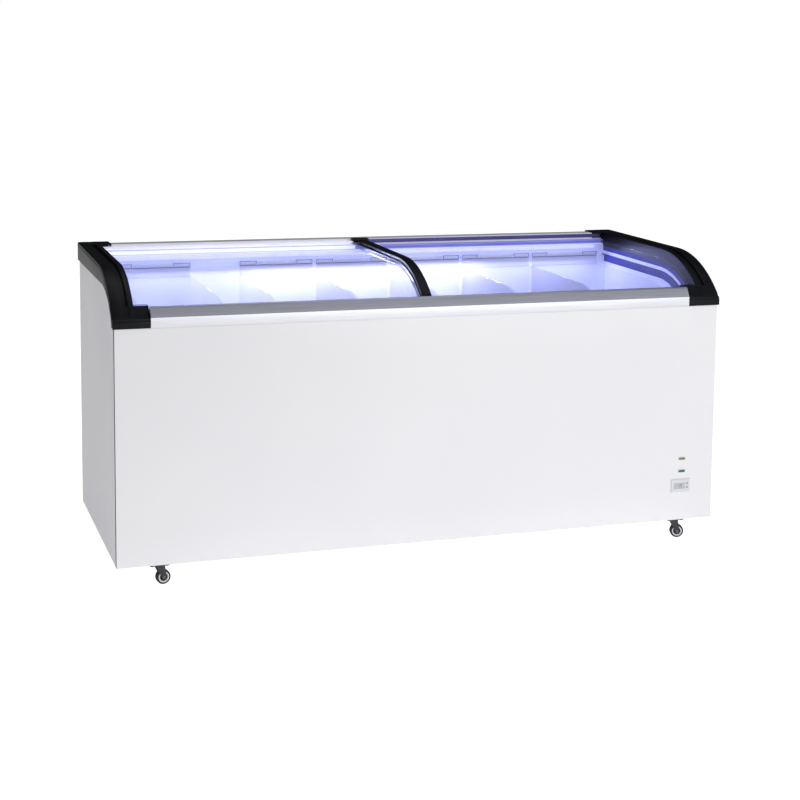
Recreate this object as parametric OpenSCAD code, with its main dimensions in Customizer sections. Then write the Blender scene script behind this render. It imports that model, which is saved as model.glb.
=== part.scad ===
// Chest freezer with two sliding curved-glass lids, on four swivel casters.
// X runs along the cabinet, -Y is the customer's side, +Z is up; the origin is on the floor, mid-cabinet.

/* [Cabinet] */
// Width over the painted steel panels
cabinet_w = 1800; // [1500:10:2200]
// Depth over the painted steel panels
cabinet_d = 710; // [600:5:860]
// Height of the end frames' top edge at the back
top_h = 870; // [820:5:1050]
// Gap from the floor to the base pan
base_h = 58; // [56:1:80]
// Sheet thickness of the painted panels
skin_t = 1; // [0.8:0.1:1.5]
// Thickness of the steel base pan
base_t = 1.5; // [1:0.1:3]
// Thickness of each insulated end wall
wall_side = 58; // [50:1:85]
// Thickness of the insulated front wall, above the ledge
wall_front = 60; // [50:1:80]
// Thickness of the insulated back wall, above the ledge
wall_back = 70; // [60:1:90]
// Thickness of the insulated floor
wall_floor = 68; // [50:1:90]
// Sheet thickness of the liner
liner_t = 1; // [0.8:0.1:2]
// Depth of the ledge that the bins hang from
ledge_w = 19; // [15:1:25]

/* [Top curve] */
// Fall of the lids towards the front, in degrees
top_slope = 1.8; // [1:0.1:4]
// Radius of the long bend
bend_r = 330; // [280:5:380]
// Angle at which the long bend meets the nose, in degrees
bend_end = 48; // [46:1:52]
// Radius of the nose above the front panel
nose_r = 60; // [50:1:80]

/* [End frames] */
// How far the frames stand out from the panels
frame_proud = 5; // [4:0.5:8]
// Width of the groove along the top of each frame
groove_w = 12; // [4:1:16]
// Depth of that groove
groove_deep = 7; // [4:0.5:8]
// Width of the band outside the groove
outer_band = 33; // [25:1:40]
// Thickness of the frames' top
frame_t = 10; // [9:0.5:14]
// Height of the frames' outer side at the back
skirt_h = 55; // [45:1:70]
// Height of the frames' inner wall, beside the lids' ends
inner_wall = 45; // [36:1:55]
// Length of the front and back corner blocks
corner_w = 102; // [80:1:130]
// Drop of the step line on the inner trims below the top curve
trim_step = 74; // [65:1:80]
// Drop of the inner trims' lower edge below the top curve
trim_drop = 94; // [90:1:110]

/* [Lids] */
// Thickness of the lid glass
glass_t = 5; // [4:0.5:6]
// Gap from the frames' top curve to the upper lid
upper_gap = 13; // [12:0.5:16]
// Clear space between the two lids
lid_gap = 9; // [8:0.5:12]
// Angle on the bend at which the glass ends
lid_end = 44; // [42:1:45]
// Distance from the back of the frames to the back edge of the glass
lid_back = 62; // [56:1:80]
// Overlap of the lids in the middle
lid_overlap = 39; // [30:1:60]
// Travel of each lid
lid_travel = 760; // [500:10:1000]
// Width of the edge bar
bar_w = 30; // [24:1:50]
// Length of the slider block behind the bar
block_w = 50; // [40:1:120]
// Running clearance between pieces that slide
slide_gap = 0.3; // [0.2:0.1:0.6]

/* [Bins] */
// Wall of a bin
bin_t = 3; // [2:0.5:4]
// Gap between neighbouring bins
bin_gap = 12.5; // [8:0.5:20]
// Wider gap kept beside the bin at the left end
bin_spare = 155; // [100:5:200]
// Depth of a bin below the back ledge
bin_deep = 325; // [200:5:340]
// Height of the ear tabs above the ledge
tab_h = 14; // [8:1:16]
// Length of an ear tab
tab_w = 55; // [30:1:70]

/* [Machinery] */
// Length of the compressor compartment
comp_w = 350; // [320:5:400]
// Height of the compressor compartment
comp_h = 265; // [250:5:290]
// Radius of the condenser fan's blades
fan_r = 78; // [60:1:85]
// Radius of the motor shaft
shaft_r = 3; // [2.5:0.5:4]
// Radial clearance of a turning shaft in its bore
run_gap = 0.05; // [0.02:0.01:0.1]
// Radius of the evaporator tube
coil_r = 4; // [3:0.5:5]
// Number of evaporator loops
coil_loops = 6; // [3:1:6]
// Radius of the bore in the cord gland
gland_r = 4.5; // [3.5:0.5:6]

/* [Front signals] */
// Distance from the cabinet's right side to the centre of the controller
panel_in = 107; // [90:1:200]
// Height of the controller's centre above the base pan
panel_up = 104.5; // [80:1:150]
// Length of the controller bezel
panel_w = 62; // [50:1:90]
// Height of the controller bezel
panel_h = 39; // [30:1:50]
// Length of an indicator lamp
lamp_w = 23; // [15:1:30]
// Height of an indicator lamp
lamp_h = 9; // [6:1:12]
// Spacing of the two lamps
lamp_pitch = 38; // [25:1:50]
// Travel of the controller buttons
button_travel = 1; // [0.5:0.1:2]

/* [Casters] */
// Distance from the cabinet's ends to the swivel axes
caster_in_x = 117; // [100:1:250]
// Distance from the cabinet's front and back to the swivel axes
caster_in_y = 21.5; // [21.5:0.5:120]
// Radius of a caster wheel
wheel_r = 20; // [18:0.5:25]
// Width of a caster wheel
wheel_w = 20; // [14:1:24]
// Distance from the swivel axis back to the wheel's axle
caster_trail = 12; // [8:1:16]
// Direction in which the front left fork trails, in degrees from +X
left_turn = 8; // [-90:1:90]
// Direction in which the front right fork trails, in degrees from +X
right_turn = -18; // [-90:1:90]
// Direction in which the back forks trail, in degrees from +X
back_turn = -75; // [-90:1:90]
// Width of a top plate
plate_w = 54; // [50:1:64]
// Depth of a top plate
plate_d = 40; // [40:1:64]
// Radius of a caster axle
axle_r = 3; // [2.5:0.5:4]

/* [Hidden] */
$fn = 48;
eps = 0.01;
far = 3000;
fit = 0.2;                                   // gap between still pieces that only lie side by side
// cabinet
half_w = cabinet_w / 2;
half_d = cabinet_d / 2;
front_y = -half_d - frame_proud;             // front face of the nose
back_y = half_d + frame_proud;               // back face of the frames
base_top = base_h + base_t;
// top curve: a sloping line, a long bend about bend_c and a nose about nose_c
rise = bend_r - nose_r;
nose_y = front_y + nose_r;
bend_y = nose_y + rise * sin(bend_end);
line_y = bend_y - bend_r * sin(top_slope);
line_drop = (back_y - line_y) * tan(top_slope);
bend_z = top_h - line_drop - bend_r * cos(top_slope);
nose_z = bend_z + rise * cos(bend_end);
// liner
liner_x = half_w - wall_side;                // inner face of the end walls
liner_front = -half_d + wall_front;
liner_back = half_d - wall_back;
tub_front = liner_front + ledge_w;
tub_back = liner_back - ledge_w;
liner_floor = base_h + wall_floor + 2;
block_z = nose_z + 5;                        // lower edge of the frames and their corner blocks
block_d = 22;                                // depth and height of the front corner blocks
block_h = 52;
rail_z = nose_z + 1;                         // lower edge of the front rail
rail_lip = rail_z + 56;                      // top of the front rail
rear_z = top_h - 41;                         // underside of the rear rail
ledge_back = top_h - 77;
ledge_front = nose_z - 6;
side_drop = trim_drop - 4;                   // top of the liner's end walls below the curve
hump_x = half_w - skin_t - comp_w - 60;      // left face of the step over the machinery
hump_z = base_top + comp_h + 60;
comp_x = half_w - skin_t - comp_w;
comp_top = base_top + comp_h;
// lids
upper_in = upper_gap;
lower_in = upper_gap + glass_t + lid_gap;
glass_y = back_y - lid_back;
lid_x = liner_x - 2;                         // outer edge of both lids
frame_in = liner_x + 1;                      // the frames' inner walls stand just outside the lids
lip_t = 3;
runner_x = frame_in - 3;
runner_w = 12;
runner_h = 16;
back_run_h = 11;
back_run_y = glass_y - 16;
rail_y = glass_y + 6.5;                      // front face of the rear rail
upper_end = curve_point(upper_in + glass_t / 2, lid_end);
lower_end = curve_point(lower_in + glass_t / 2, lid_end);
upper_run_y = upper_end.x - 8;
lower_run_y = lower_end.x - 4;
upper_run_z = upper_end.y - 13;
lower_run_z = lower_end.y - 13;
track_z = nose_z + 10;
wall_y = tub_front - ledge_w + 3;            // inner wall of the front track
track_back = wall_y + 4.5;
// bins
bin_end = 34;
bin_w = (2 * (liner_x - bin_end) - bin_spare - 4 * bin_gap) / 6;
bin_low = ledge_back - bin_deep;
bin_y0 = tub_front + 2;
bin_y1 = tub_back - 2;
bin_top = ledge_back + slide_gap;
// machinery
fan_y = -40;
fan_z = base_top + 130;
fan_x = half_w - 105;
grille_w = 420;
grille_h = 210;
screw_y = grille_w / 2 + 7;                  // grille screws, from the grille's middle
screw_z = grille_h / 2 - 20;
gland_x = half_w - 180;
gland_z = base_h + 70;
drain_x = -half_w + 200;
drain_r = 12;
hose_r = 10;
drain_bore = 8;
// signals
panel_x = half_w - panel_in;
panel_z = base_h + panel_up;
lamp_x = panel_x + 3;
green_z = panel_z + 44.5;
amber_z = green_z + lamp_pitch;
// casters
plate_t = 2.5;
fork_top = base_h - plate_t - slide_gap;
fork_t = 2.5;
kingpin_r = 4;

// A point on the curve that lies drop inside the top curve, at an angle past the vertical
function curve_point(drop, a) = a <= bend_end
    ? [bend_y - (bend_r - drop) * sin(a), bend_z + (bend_r - drop) * cos(a)]
    : [nose_y - (nose_r - drop) * sin(a), nose_z + (nose_r - drop) * cos(a)];
// Height of the straight part of that curve
function line_z(drop, y) = let (p = curve_point(drop, top_slope)) p.y + (y - p.x) * tan(top_slope);
// The curve from the back at y down to an angle
function curve(drop, y, a) = concat(
    [[y, line_z(drop, y)]],
    [for (i = [0:10]) curve_point(drop, min(a, top_slope + (bend_end - top_slope) * i / 10))],
    a <= bend_end ? [] : [for (i = [1:6]) curve_point(drop, bend_end + (a - bend_end) * i / 6)]);
function turned(points) = [for (i = [len(points) - 1:-1:0]) points[i]];
// Outline of a strip between two depths below the top curve
function strip(d0, d1, y, a) = concat(curve(d0, y, a), turned(curve(d1, y, a)));
// Outline of everything below that curve; deeper than the nose's radius it ends in a straight tail
function under(drop, y) = let (tail = curve_point(drop, bend_end) - 120 * [cos(bend_end), sin(bend_end)])
    drop < nose_r - 1 ? concat(curve(drop, y, 90), [[nose_y - nose_r + drop, -far], [y, -far]])
    : concat(curve(drop, y, bend_end), [tail, [tail.x, -far], [y, -far]]);
// Lower edge of the end frames' outer side: a line, a bend and a straight tail
skirt_bend_r = 290;
skirt_y = front_y + 211;
skirt_z = nose_z + 98.5;
function skirt_point(a) = [skirt_y - skirt_bend_r * sin(a), skirt_z - skirt_bend_r * (1 - cos(a))];
function skirt_cut() = concat([[back_y + 1, top_h - skirt_h]], [for (a = [0:6:42]) skirt_point(a)],
    [skirt_point(42) - [far * 0.02, far * 0.02 * tan(42)], [-far, -far], [back_y + 1, -far]]);

// An outline in Y and Z, drawn out along X
module slab(x0, x1) { translate([x0, 0, 0]) rotate([90, 0, 90]) linear_extrude(x1 - x0) children(); }
module box(low, high) { translate(low) cube(high - low); }
module rod_x(r, x0, x1, y, z) { translate([x0, y, z]) rotate([0, 90, 0]) cylinder(r = r, h = x1 - x0); }
module rod_y(r, y0, y1, x, z) { translate([x, y0, z]) rotate([-90, 0, 0]) cylinder(r = r, h = y1 - y0); }
module rod_z(r, z0, z1, x, y) { translate([x, y, z0]) cylinder(r = r, h = z1 - z0); }

// ---- painted casing ----
module front_panel() {
    panel_top = block_z - fit;
    color("whitesmoke") difference() {
        slab(-half_w, half_w) polygon([[-half_d, base_h], [-half_d, panel_top], [-half_d + 14, panel_top],
            [-half_d + 14, panel_top - skin_t], [-half_d + skin_t, panel_top - skin_t],
            [-half_d + skin_t, base_h]]);
        box([panel_x - panel_w / 2 + 3, -half_d - 1, panel_z - panel_h / 2 + 3],
            [panel_x + panel_w / 2 - 3, -half_d + 2, panel_z + panel_h / 2 - 3]);
        for (z = [green_z, amber_z])
            box([lamp_x - lamp_w / 2 + 1.5, -half_d - 1, z - lamp_h / 2 + 1.5],
                [lamp_x + lamp_w / 2 - 1.5, -half_d + 2, z + lamp_h / 2 - 1.5]);
        for (side = [-1, 1])
            box([side * (half_w - skin_t / 2) - skin_t / 2 - fit, -half_d + skin_t, base_h - 1],
                [side * (half_w - skin_t / 2) + skin_t / 2 + fit, half_d, panel_top + 1]);
    }
}
module side_panel() {
    slab(half_w - skin_t, half_w) difference() {
        union() {
            intersection() {
                translate([-half_d + skin_t, base_h]) square([cabinet_d - 2 * skin_t, far]);
                polygon(under(frame_t + 5, far));
            }
            translate([-half_d + skin_t, base_h]) square([100, block_z - skin_t - base_h]);
        }
        translate([-far, block_z - fit]) square([far + front_y + block_d + fit, far]);
    }
}
module left_side_panel() { color("gainsboro") mirror([1, 0, 0]) side_panel(); }
module right_side_panel() {
    color("gainsboro") difference() {
        side_panel();
        box([half_w - 5, fan_y - grille_w / 2, fan_z - grille_h / 2],
            [half_w + 5, fan_y + grille_w / 2, fan_z + grille_h / 2]);
        for (y = [-1, 1], z = [-1, 1])
            rod_x(2, half_w - 5, half_w + 5, fan_y + y * screw_y, fan_z + z * screw_z);
    }
}
module back_panel() {
    color("whitesmoke") difference() {
        box([-half_w, half_d - skin_t, base_h], [half_w, half_d, rear_z - fit]);
        rod_y(8 + fit, half_d - 5, half_d + 5, gland_x, gland_z);
    }
}
module base_pan() {
    color("silver") difference() {
        box([-half_w + skin_t + fit, -half_d + skin_t + fit, base_h],
            [half_w - skin_t - fit, half_d - skin_t - fit, base_top]);
        rod_z(drain_r + fit, base_h - 1, base_top + 1, drain_x, 0);
    }
}

// ---- insulated body ----
function tub_outline(low, e) = [[tub_front - e, low - e], [tub_back + e, low - e],
    [tub_back + e, ledge_back - e], [liner_back + e, ledge_back - e], [liner_back + e, far],
    [liner_front - e, far], [liner_front - e, ledge_front - e], [tub_front - e, ledge_front - e]];
// The space that the liner encloses, grown by e on every wall
module tub_void(e) {
    slab(-liner_x - e, hump_x + e) polygon(tub_outline(liner_floor, e));
    slab(hump_x, liner_x + e) polygon(tub_outline(hump_z, e));
}
// Front wall, floor and back wall as one folded sheet
function sheet_outline(low) = let (t = liner_t, up = track_z - fit, back = rear_z - fit) [
    [liner_front - t, up], [liner_front - t, ledge_front - t], [tub_front - t, ledge_front - t],
    [tub_front - t, low - t], [tub_back + t, low - t], [tub_back + t, ledge_back - t],
    [liner_back + t, ledge_back - t], [liner_back + t, back], [liner_back, back], [liner_back, ledge_back],
    [tub_back, ledge_back], [tub_back, low], [tub_front, low], [tub_front, ledge_front],
    [liner_front, ledge_front], [liner_front, up]];
// End wall, up to the inner trim
module end_wall(low) {
    t = liner_t;
    intersection() {
        polygon(tub_outline(low, t));
        polygon(under(side_drop, liner_back + t));
        translate([liner_front - t, 0]) square([cabinet_d, far]);
    }
}
module inner_liner() {
    color("white") difference() {
        union() {
            slab(-liner_x, hump_x) polygon(sheet_outline(liner_floor));
            slab(hump_x, liner_x) polygon(sheet_outline(hump_z));
            slab(-liner_x - liner_t, -liner_x) end_wall(liner_floor);
            slab(liner_x, liner_x + liner_t) end_wall(hump_z);
            box([hump_x, tub_front - liner_t, liner_floor - liner_t],
                [hump_x + liner_t, tub_back + liner_t, hump_z]);
        }
        rod_z(drain_bore, liner_floor - 5, liner_floor + 1, drain_x, 0);
    }
}
coil_out = liner_t + fit + 0.4 + coil_r;
coil_pitch = 48;
coil_low = hump_z + 35;
coil_top = coil_low + (coil_loops - 1) * coil_pitch;
riser_x = liner_x - 90;
riser_y = tub_back + coil_out;
module coil_loop(z) {
    x = liner_x + coil_out;
    y0 = tub_front - coil_out;
    for (y = [y0, riser_y]) rod_x(coil_r, -x, x, y, z);
    for (side = [-1, 1]) {
        rod_y(coil_r, y0, riser_y, side * x, z);
        for (y = [y0, riser_y]) translate([side * x, y, z]) sphere(r = coil_r, $fn = 24);
    }
}
module evaporator_coil() {
    color("peru") {
        for (i = [0:coil_loops - 1]) coil_loop(coil_low + coil_pitch * i);
        rod_z(coil_r, comp_top + 4, coil_top, riser_x, riser_y);
    }
}
module foam_insulation() {
    r = coil_r + 0.4;
    e = liner_t + fit;
    color("khaki") difference() {
        union() {
            slab(-half_w + skin_t + fit, half_w - skin_t - fit) intersection() {
                translate([-half_d + skin_t + fit, base_top]) square([cabinet_d - 2 * skin_t - 2 * fit, far]);
                union() {
                    intersection() {
                        polygon(under(trim_drop + 4, far));
                        translate([-half_d + 60, 0]) square([cabinet_d, ledge_back - 22]);
                    }
                    translate([-half_d, 0]) square([wall_front, nose_z - 1]);
                }
            }
            box([-half_w + skin_t + fit, liner_back + e, ledge_back - 60],
                [half_w - skin_t - fit, half_d - skin_t - fit, rear_z - fit]);
        }
        tub_void(e);
        box([comp_x, -far, -far], [far, far, comp_top]);
        for (i = [0:coil_loops - 1]) difference() {
            z = coil_low + coil_pitch * i;
            box([-liner_x - coil_out - r, tub_front - coil_out - r, z - r],
                [liner_x + coil_out + r, riser_y + r, z + r]);
            box([-liner_x - e, tub_front - e, z - far], [liner_x + e, tub_back + e, z + far]);
        }
        box([riser_x - r, tub_back, comp_top - 5], [riser_x + r, riser_y + r, coil_top + r]);
        rod_z(drain_r + fit, base_top - 5, liner_floor, drain_x, 0);
    }
}

// ---- end frames and inner trims ----
module end_frame() {
    face_x = half_w + frame_proud;
    band_x = face_x - outer_band;
    groove_x = band_x - groove_w;
    inside_x = frame_in + lip_t;
    back_x = face_x - corner_w + 7;
    difference() {
        union() {
            // top of the frame, in bands with a groove between them
            slab(band_x, face_x) polygon(strip(1, frame_t, back_y, 90));
            slab(groove_x, band_x) polygon(strip(groove_deep, frame_t, back_y, 90));
            slab(inside_x, groove_x) polygon(strip(0, frame_t, back_y, 90));
            difference() {
                slab(frame_in, inside_x) polygon(strip(1, inner_wall, back_y, 90));
                box([0, liner_back, 0], [far, far, rear_z]);
            }
            // outer side, outside the side panel
            slab(half_w + fit, face_x) difference() {
                polygon(concat(curve(1, back_y, 90), [[front_y + 1, -far], [back_y, -far]]));
                polygon(skirt_cut());
            }
            // front corner block, over the end of the rail
            slab(face_x - corner_w, face_x) intersection() {
                polygon(strip(0, block_d, back_y, 90));
                translate([-far, block_z]) square([far + front_y + block_d, block_h]);
            }
            slab(face_x - corner_w, face_x)
                polygon([[front_y, block_z], [-half_d - fit, block_z], [-half_d - fit, nose_z + 12],
                    [front_y, nose_z + 12]]);
            // back corner block, over the end of the rear rail
            slab(back_x, face_x) intersection() {
                polygon(strip(0, 4, back_y, 10));
                translate([rail_y - 6, 0]) square([far, far]);
            }
            box([half_w + fit, back_y - 4, top_h - skirt_h], [face_x, back_y, top_h - 2]);
            box([back_x, back_y - 2.5, rear_z - 12], [face_x, back_y, top_h - 2]);
        }
        box([-far, -far, -far], [far, far, block_z]);
    }
}
module left_end_frame() { color("#17181b") mirror([1, 0, 0]) end_frame(); }
module right_end_frame() { color("#17181b") end_frame(); }
module inner_trim() {
    y1 = rail_y - 8;
    leg_x = liner_x - 5;
    inside_x = frame_in + lip_t;
    difference() {
        union() {
            slab(frame_in, inside_x) polygon(strip(inner_wall + fit, trim_step, y1, 52));
            slab(leg_x, inside_x) polygon(strip(trim_step - 3, trim_step, y1, bend_end));
            slab(leg_x, leg_x + 3) polygon(strip(trim_step - 1, trim_drop, y1, bend_end));
        }
        box([-far, -far, -far], [far, wall_y + 3, far]);
        box([-far, -far, -far], [far, tub_front + fit, ledge_front + fit]);
        box([-far, tub_back - fit, -far], [far, far, ledge_back + fit]);
        box([0, liner_back - fit, 0], [far, far, rear_z + 1]);
    }
}
module left_inner_trim() { color("mediumslateblue") mirror([1, 0, 0]) inner_trim(); }
module right_inner_trim() { color("mediumslateblue") inner_trim(); }

// ---- rails and tracks ----
module front_rail() {
    e = half_w + frame_proud - corner_w - slide_gap;
    y = front_y;
    z = rail_z;
    color("silver") slab(-e, e) polygon([[y, z], [y, z + 28], [y + 14.5, z + 54.5], [y + 18, rail_lip],
        [y + 23, rail_lip], [y + 23, rail_lip - 18], [y + 20.5, rail_lip - 18], [y + 20.5, rail_lip - 2.5],
        [y + 17, rail_lip - 2.5], [y + 2.5, z + 27.5], [y + 2.5, z]]);
}
module front_track() {
    color("dimgray") slab(-frame_in + fit, frame_in - fit) polygon([[front_y + 23.5, track_z],
        [front_y + 23.5, rail_lip - 10], [upper_run_y - 0.5, rail_lip - 10],
        [upper_run_y - 0.5, upper_run_z - slide_gap], [lower_run_y - 1.2, upper_run_z - slide_gap],
        [lower_run_y - 1.2, lower_run_z - slide_gap],
        [lower_run_y + runner_w + 0.5, lower_run_z - slide_gap],
        [lower_run_y + runner_w + 0.5, lower_run_z + 10], [track_back, lower_run_z + 10],
        [track_back, track_z]]);
}
upper_back_z = line_z(upper_in + glass_t / 2, back_run_y) - 4;
lower_back_z = line_z(lower_in + glass_t / 2, back_run_y) - 5;
module rear_rail() {
    e = half_w + frame_proud - corner_w + 6;
    color("white") difference() {
        union() {
            box([-e, rail_y, rear_z], [e, back_y - 3, top_h - 4.5]);
            for (z = [upper_back_z, lower_back_z])
                box([-runner_x, rail_y - 8, z - 2.4 - slide_gap], [runner_x, rail_y + eps, z - slide_gap]);
        }
        box([-e - 1, rail_y + 3, rear_z + 3], [e + 1, back_y - 6, top_h - 7.5]);
    }
}
module led_strip() {
    x1 = liner_x - 40;
    color("lavender") box([-x1, liner_back - 13, rear_z - 13], [x1, liner_back - fit, rear_z - 2]);
}

// ---- lids ----
module lid_glass(x0, x1, drop) {
    slab(x0, x1) polygon(strip(drop, drop + glass_t, glass_y, lid_end));
}
// Runners clasp the glass edges along the front and the back
module lid_runners(x0, x1, drop, front_y0, front_z0, back_z0) {
    difference() {
        union() {
            box([x0, front_y0, front_z0], [x1, front_y0 + runner_w, front_z0 + runner_h]);
            box([x0, back_run_y, back_z0], [x1, rail_y - 0.5, back_z0 + back_run_h]);
        }
        slab(x0 - 1, x1 + 1) polygon(strip(drop - fit, drop + glass_t + fit, glass_y + fit, lid_end + 0.2));
    }
}
left_edge = 4;                               // meeting edge of the upper lid
right_edge = left_edge - bar_w - 3;          // meeting edge of the lower lid
block_mid = left_edge - 21.5;                // middle of the slider blocks
module left_lid_glass() { color("lightcyan") lid_glass(-lid_x, left_edge - 3, upper_in); }
module right_lid_glass() { color("lightcyan") lid_glass(right_edge, lid_x, lower_in); }
module left_lid_runners() {
    x1 = block_mid - block_w / 2 - fit;
    color("gainsboro") lid_runners(-runner_x, x1, upper_in, upper_run_y, upper_run_z, upper_back_z);
}
module right_lid_runners() {
    color("dimgray") lid_runners(right_edge, runner_x, lower_in, lower_run_y, lower_run_z, lower_back_z);
}
module left_lid_bar() {
    color("#17181b") difference() {
        slab(left_edge - bar_w, left_edge) polygon(strip(4, upper_in + glass_t + 3, back_run_y - 8, lid_end));
        slab(left_edge - bar_w - 1, left_edge - 3 + fit)
            polygon(strip(upper_in - fit, upper_in + glass_t + fit, back_y, lid_end + 1));
    }
}
module left_lid_blocks() {
    x0 = left_edge - bar_w;
    x1 = block_mid + block_w / 2;
    color("#17181b") {
        box([block_mid - block_w / 2, back_run_y - 7, line_z(upper_in, back_run_y) + 1.2],
            [x1, rail_y - 0.8, top_h - 2]);
        box([x0, back_run_y, upper_back_z], [x1, rail_y - 0.5, upper_back_z + 1.2]);
        box([x0, upper_run_y, upper_run_z], [x1, upper_run_y + runner_w - 4, upper_run_z + 9]);
    }
}

// ---- bins ----
function bin_x(i) = i == 0 ? -liner_x + bin_end : liner_x - bin_end - bin_w - (5 - i) * (bin_w + bin_gap);
module bin(i) {
    x0 = bin_x(i);
    x1 = x0 + bin_w;
    front_z = ledge_front + slide_gap;
    color("aliceblue", 0.5) union() {
        difference() {
            slab(x0, x1) intersection() {
                translate([bin_y0, bin_low]) square([bin_y1 - bin_y0, far]);
                union() {
                    polygon(under(trim_drop + 7, far));
                    translate([bin_y0, 0]) square([bin_t, front_z + 3]);
                    translate([bin_y1 - bin_t, 0]) square([bin_t, bin_top + 3]);
                }
            }
            box([x0 + bin_t, bin_y0 + bin_t, bin_low + bin_t], [x1 - bin_t, bin_y1 - bin_t, far]);
        }
        box([x0, bin_y1 - bin_t, bin_top], [x1, liner_back - 2, bin_top + 3]);
        box([x0, track_back + 0.7, front_z], [x1, bin_y0 + bin_t, front_z + 3]);
        for (x = [x0, x1 - tab_w])
            box([x, bin_y1 - bin_t, bin_top], [x + tab_w, bin_y1, bin_top + tab_h]);
    }
}
module bin_1() { bin(0); }
module bin_2() { bin(1); }
module bin_3() { bin(2); }
module bin_4() { bin(3); }
module bin_5() { bin(4); }
module bin_6() { bin(5); }

// ---- front signals ----
module lamp(z, paint) {
    w = lamp_w / 2;
    h = lamp_h / 2;
    color(paint) union() {
        box([lamp_x - w, -half_d - 2.2, z - h], [lamp_x + w, -half_d - fit, z + h]);
        box([lamp_x - w + 2, -half_d - fit - eps, z - h + 2], [lamp_x + w - 2, -half_d + 14, z + h - 2]);
    }
}
module amber_lamp() { lamp(amber_z, "darkorange"); }
module green_lamp() { lamp(green_z, "seagreen"); }
button_r = 3;
button_x = panel_x + panel_w / 2 - 9;
button_dz = 6;
display_x0 = panel_x - panel_w / 2 + 8;
display_x1 = button_x - 8;
display_h = 18;
module controller_bezel() {
    w = panel_w / 2;
    h = panel_h / 2;
    color("gainsboro") difference() {
        union() {
            box([panel_x - w, -half_d - 2.5, panel_z - h], [panel_x + w, -half_d - fit, panel_z + h]);
            box([panel_x - w + 4, -half_d - fit - eps, panel_z - h + 4],
                [panel_x + w - 4, -half_d + 30, panel_z + h - 4]);
        }
        box([display_x0, -half_d - 3, panel_z - display_h / 2],
            [display_x1, -half_d + 20, panel_z + display_h / 2]);
        for (side = [-1, 1])
            rod_y(button_r + slide_gap, -half_d - 3, -half_d + 12, button_x, panel_z + side * button_dz);
    }
}
module controller_display() {
    color("slategray") box([display_x0 + fit, -half_d - 2.1, panel_z - display_h / 2 + fit],
        [display_x1 - fit, -half_d + 6, panel_z + display_h / 2 - fit]);
}
module button(side) {
    color("darkgray") rod_y(button_r, -half_d - 3.7, -half_d + 8, button_x, panel_z + side * button_dz);
}
module up_button() { button(1); }
module down_button() { button(-1); }

// ---- machinery ----
comp_mid_x = comp_x + 115;
comp_mid_y = 150;
comp_r = 72;
comp_foot = 62;                              // from the middle to a rubber foot
comp_plate = 74;                             // from the middle to the foot plate's edge
module compressor() {
    color("#202226") union() {
        translate([comp_mid_x, comp_mid_y, base_top + 14]) rotate_extrude() polygon([[0, 0], [comp_r - 12, 0],
            [comp_r, 14], [comp_r, 60], [comp_r + 3, 62], [comp_r + 3, 68], [comp_r, 70], [comp_r, 110],
            [comp_r - 14, 130], [comp_r - 36, 138], [0, 140]]);
        for (x = [-comp_foot, comp_foot], y = [-comp_foot, comp_foot])
            rod_z(9, base_top, base_top + 14.5, comp_mid_x + x, comp_mid_y + y);
        box([comp_mid_x - comp_plate, comp_mid_y - comp_plate, base_top + 11],
            [comp_mid_x + comp_plate, comp_mid_y + comp_plate, base_top + 15]);
    }
}
module condenser() {
    x0 = half_w - 62;
    x1 = x0 + 40;
    z0 = fan_z - 95;
    z1 = fan_z + 95;
    fin_pitch = 21;
    color("dimgray") union() {
        for (i = [0:14]) box([x0, fan_y - 150 + i * fin_pitch, z0], [x1, fan_y - 149 + i * fin_pitch, z1]);
        for (k = [-3:3], x = [x0 + 12, x0 + 28]) rod_y(4, fan_y - 160, fan_y + 155, x, fan_z + k * 26);
        for (y = [-160, 155]) box([x0, fan_y + y - 3, z0], [x1, fan_y + y + 3, z1]);
        for (y = [-157, 157]) box([x0 + 4, fan_y + y - 6, base_top], [x1 - 4, fan_y + y - 4, z0 + 5]);
    }
}
module fan_motor() {
    color("darkgray") difference() {
        union() {
            difference() {
                box([fan_x + 22, fan_y - fan_r - 14, fan_z - fan_r - 14],
                    [fan_x + 25, fan_y + fan_r + 14, fan_z + fan_r + 14]);
                rod_x(fan_r + 4, fan_x, fan_x + 30, fan_y, fan_z);
            }
            rod_x(24, fan_x - 50, fan_x - 16, fan_y, fan_z);
            for (y = [-1, 1]) {
                box([fan_x - 44, fan_y + y * (fan_r + 8) - 5, fan_z - 5],
                    [fan_x + 23, fan_y + y * (fan_r + 8) + 5, fan_z + 5]);
                box([fan_x - 44, min(0, y * (fan_r + 12)) + fan_y, fan_z - 5],
                    [fan_x - 38, max(0, y * (fan_r + 12)) + fan_y, fan_z + 5]);
            }
            box([fan_x + 22, fan_y - 40, base_top], [fan_x + 25, fan_y + 40, fan_z - fan_r - 8]);
        }
        rod_x(shaft_r + run_gap, fan_x - 51, fan_x - 10, fan_y, fan_z);
    }
}
module fan_blades() {
    color("steelblue") translate([fan_x, fan_y, fan_z]) {
        rod_x(18, -8, 12, 0, 0);
        rod_x(shaft_r, -46, -7, 0, 0);
        for (i = [0:4]) rotate([72 * i, 0, 0]) translate([2, 0, 14]) rotate([0, 0, 28])
            translate([-1, -20, 0]) cube([2, 40, fan_r - 22]);
    }
}
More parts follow.
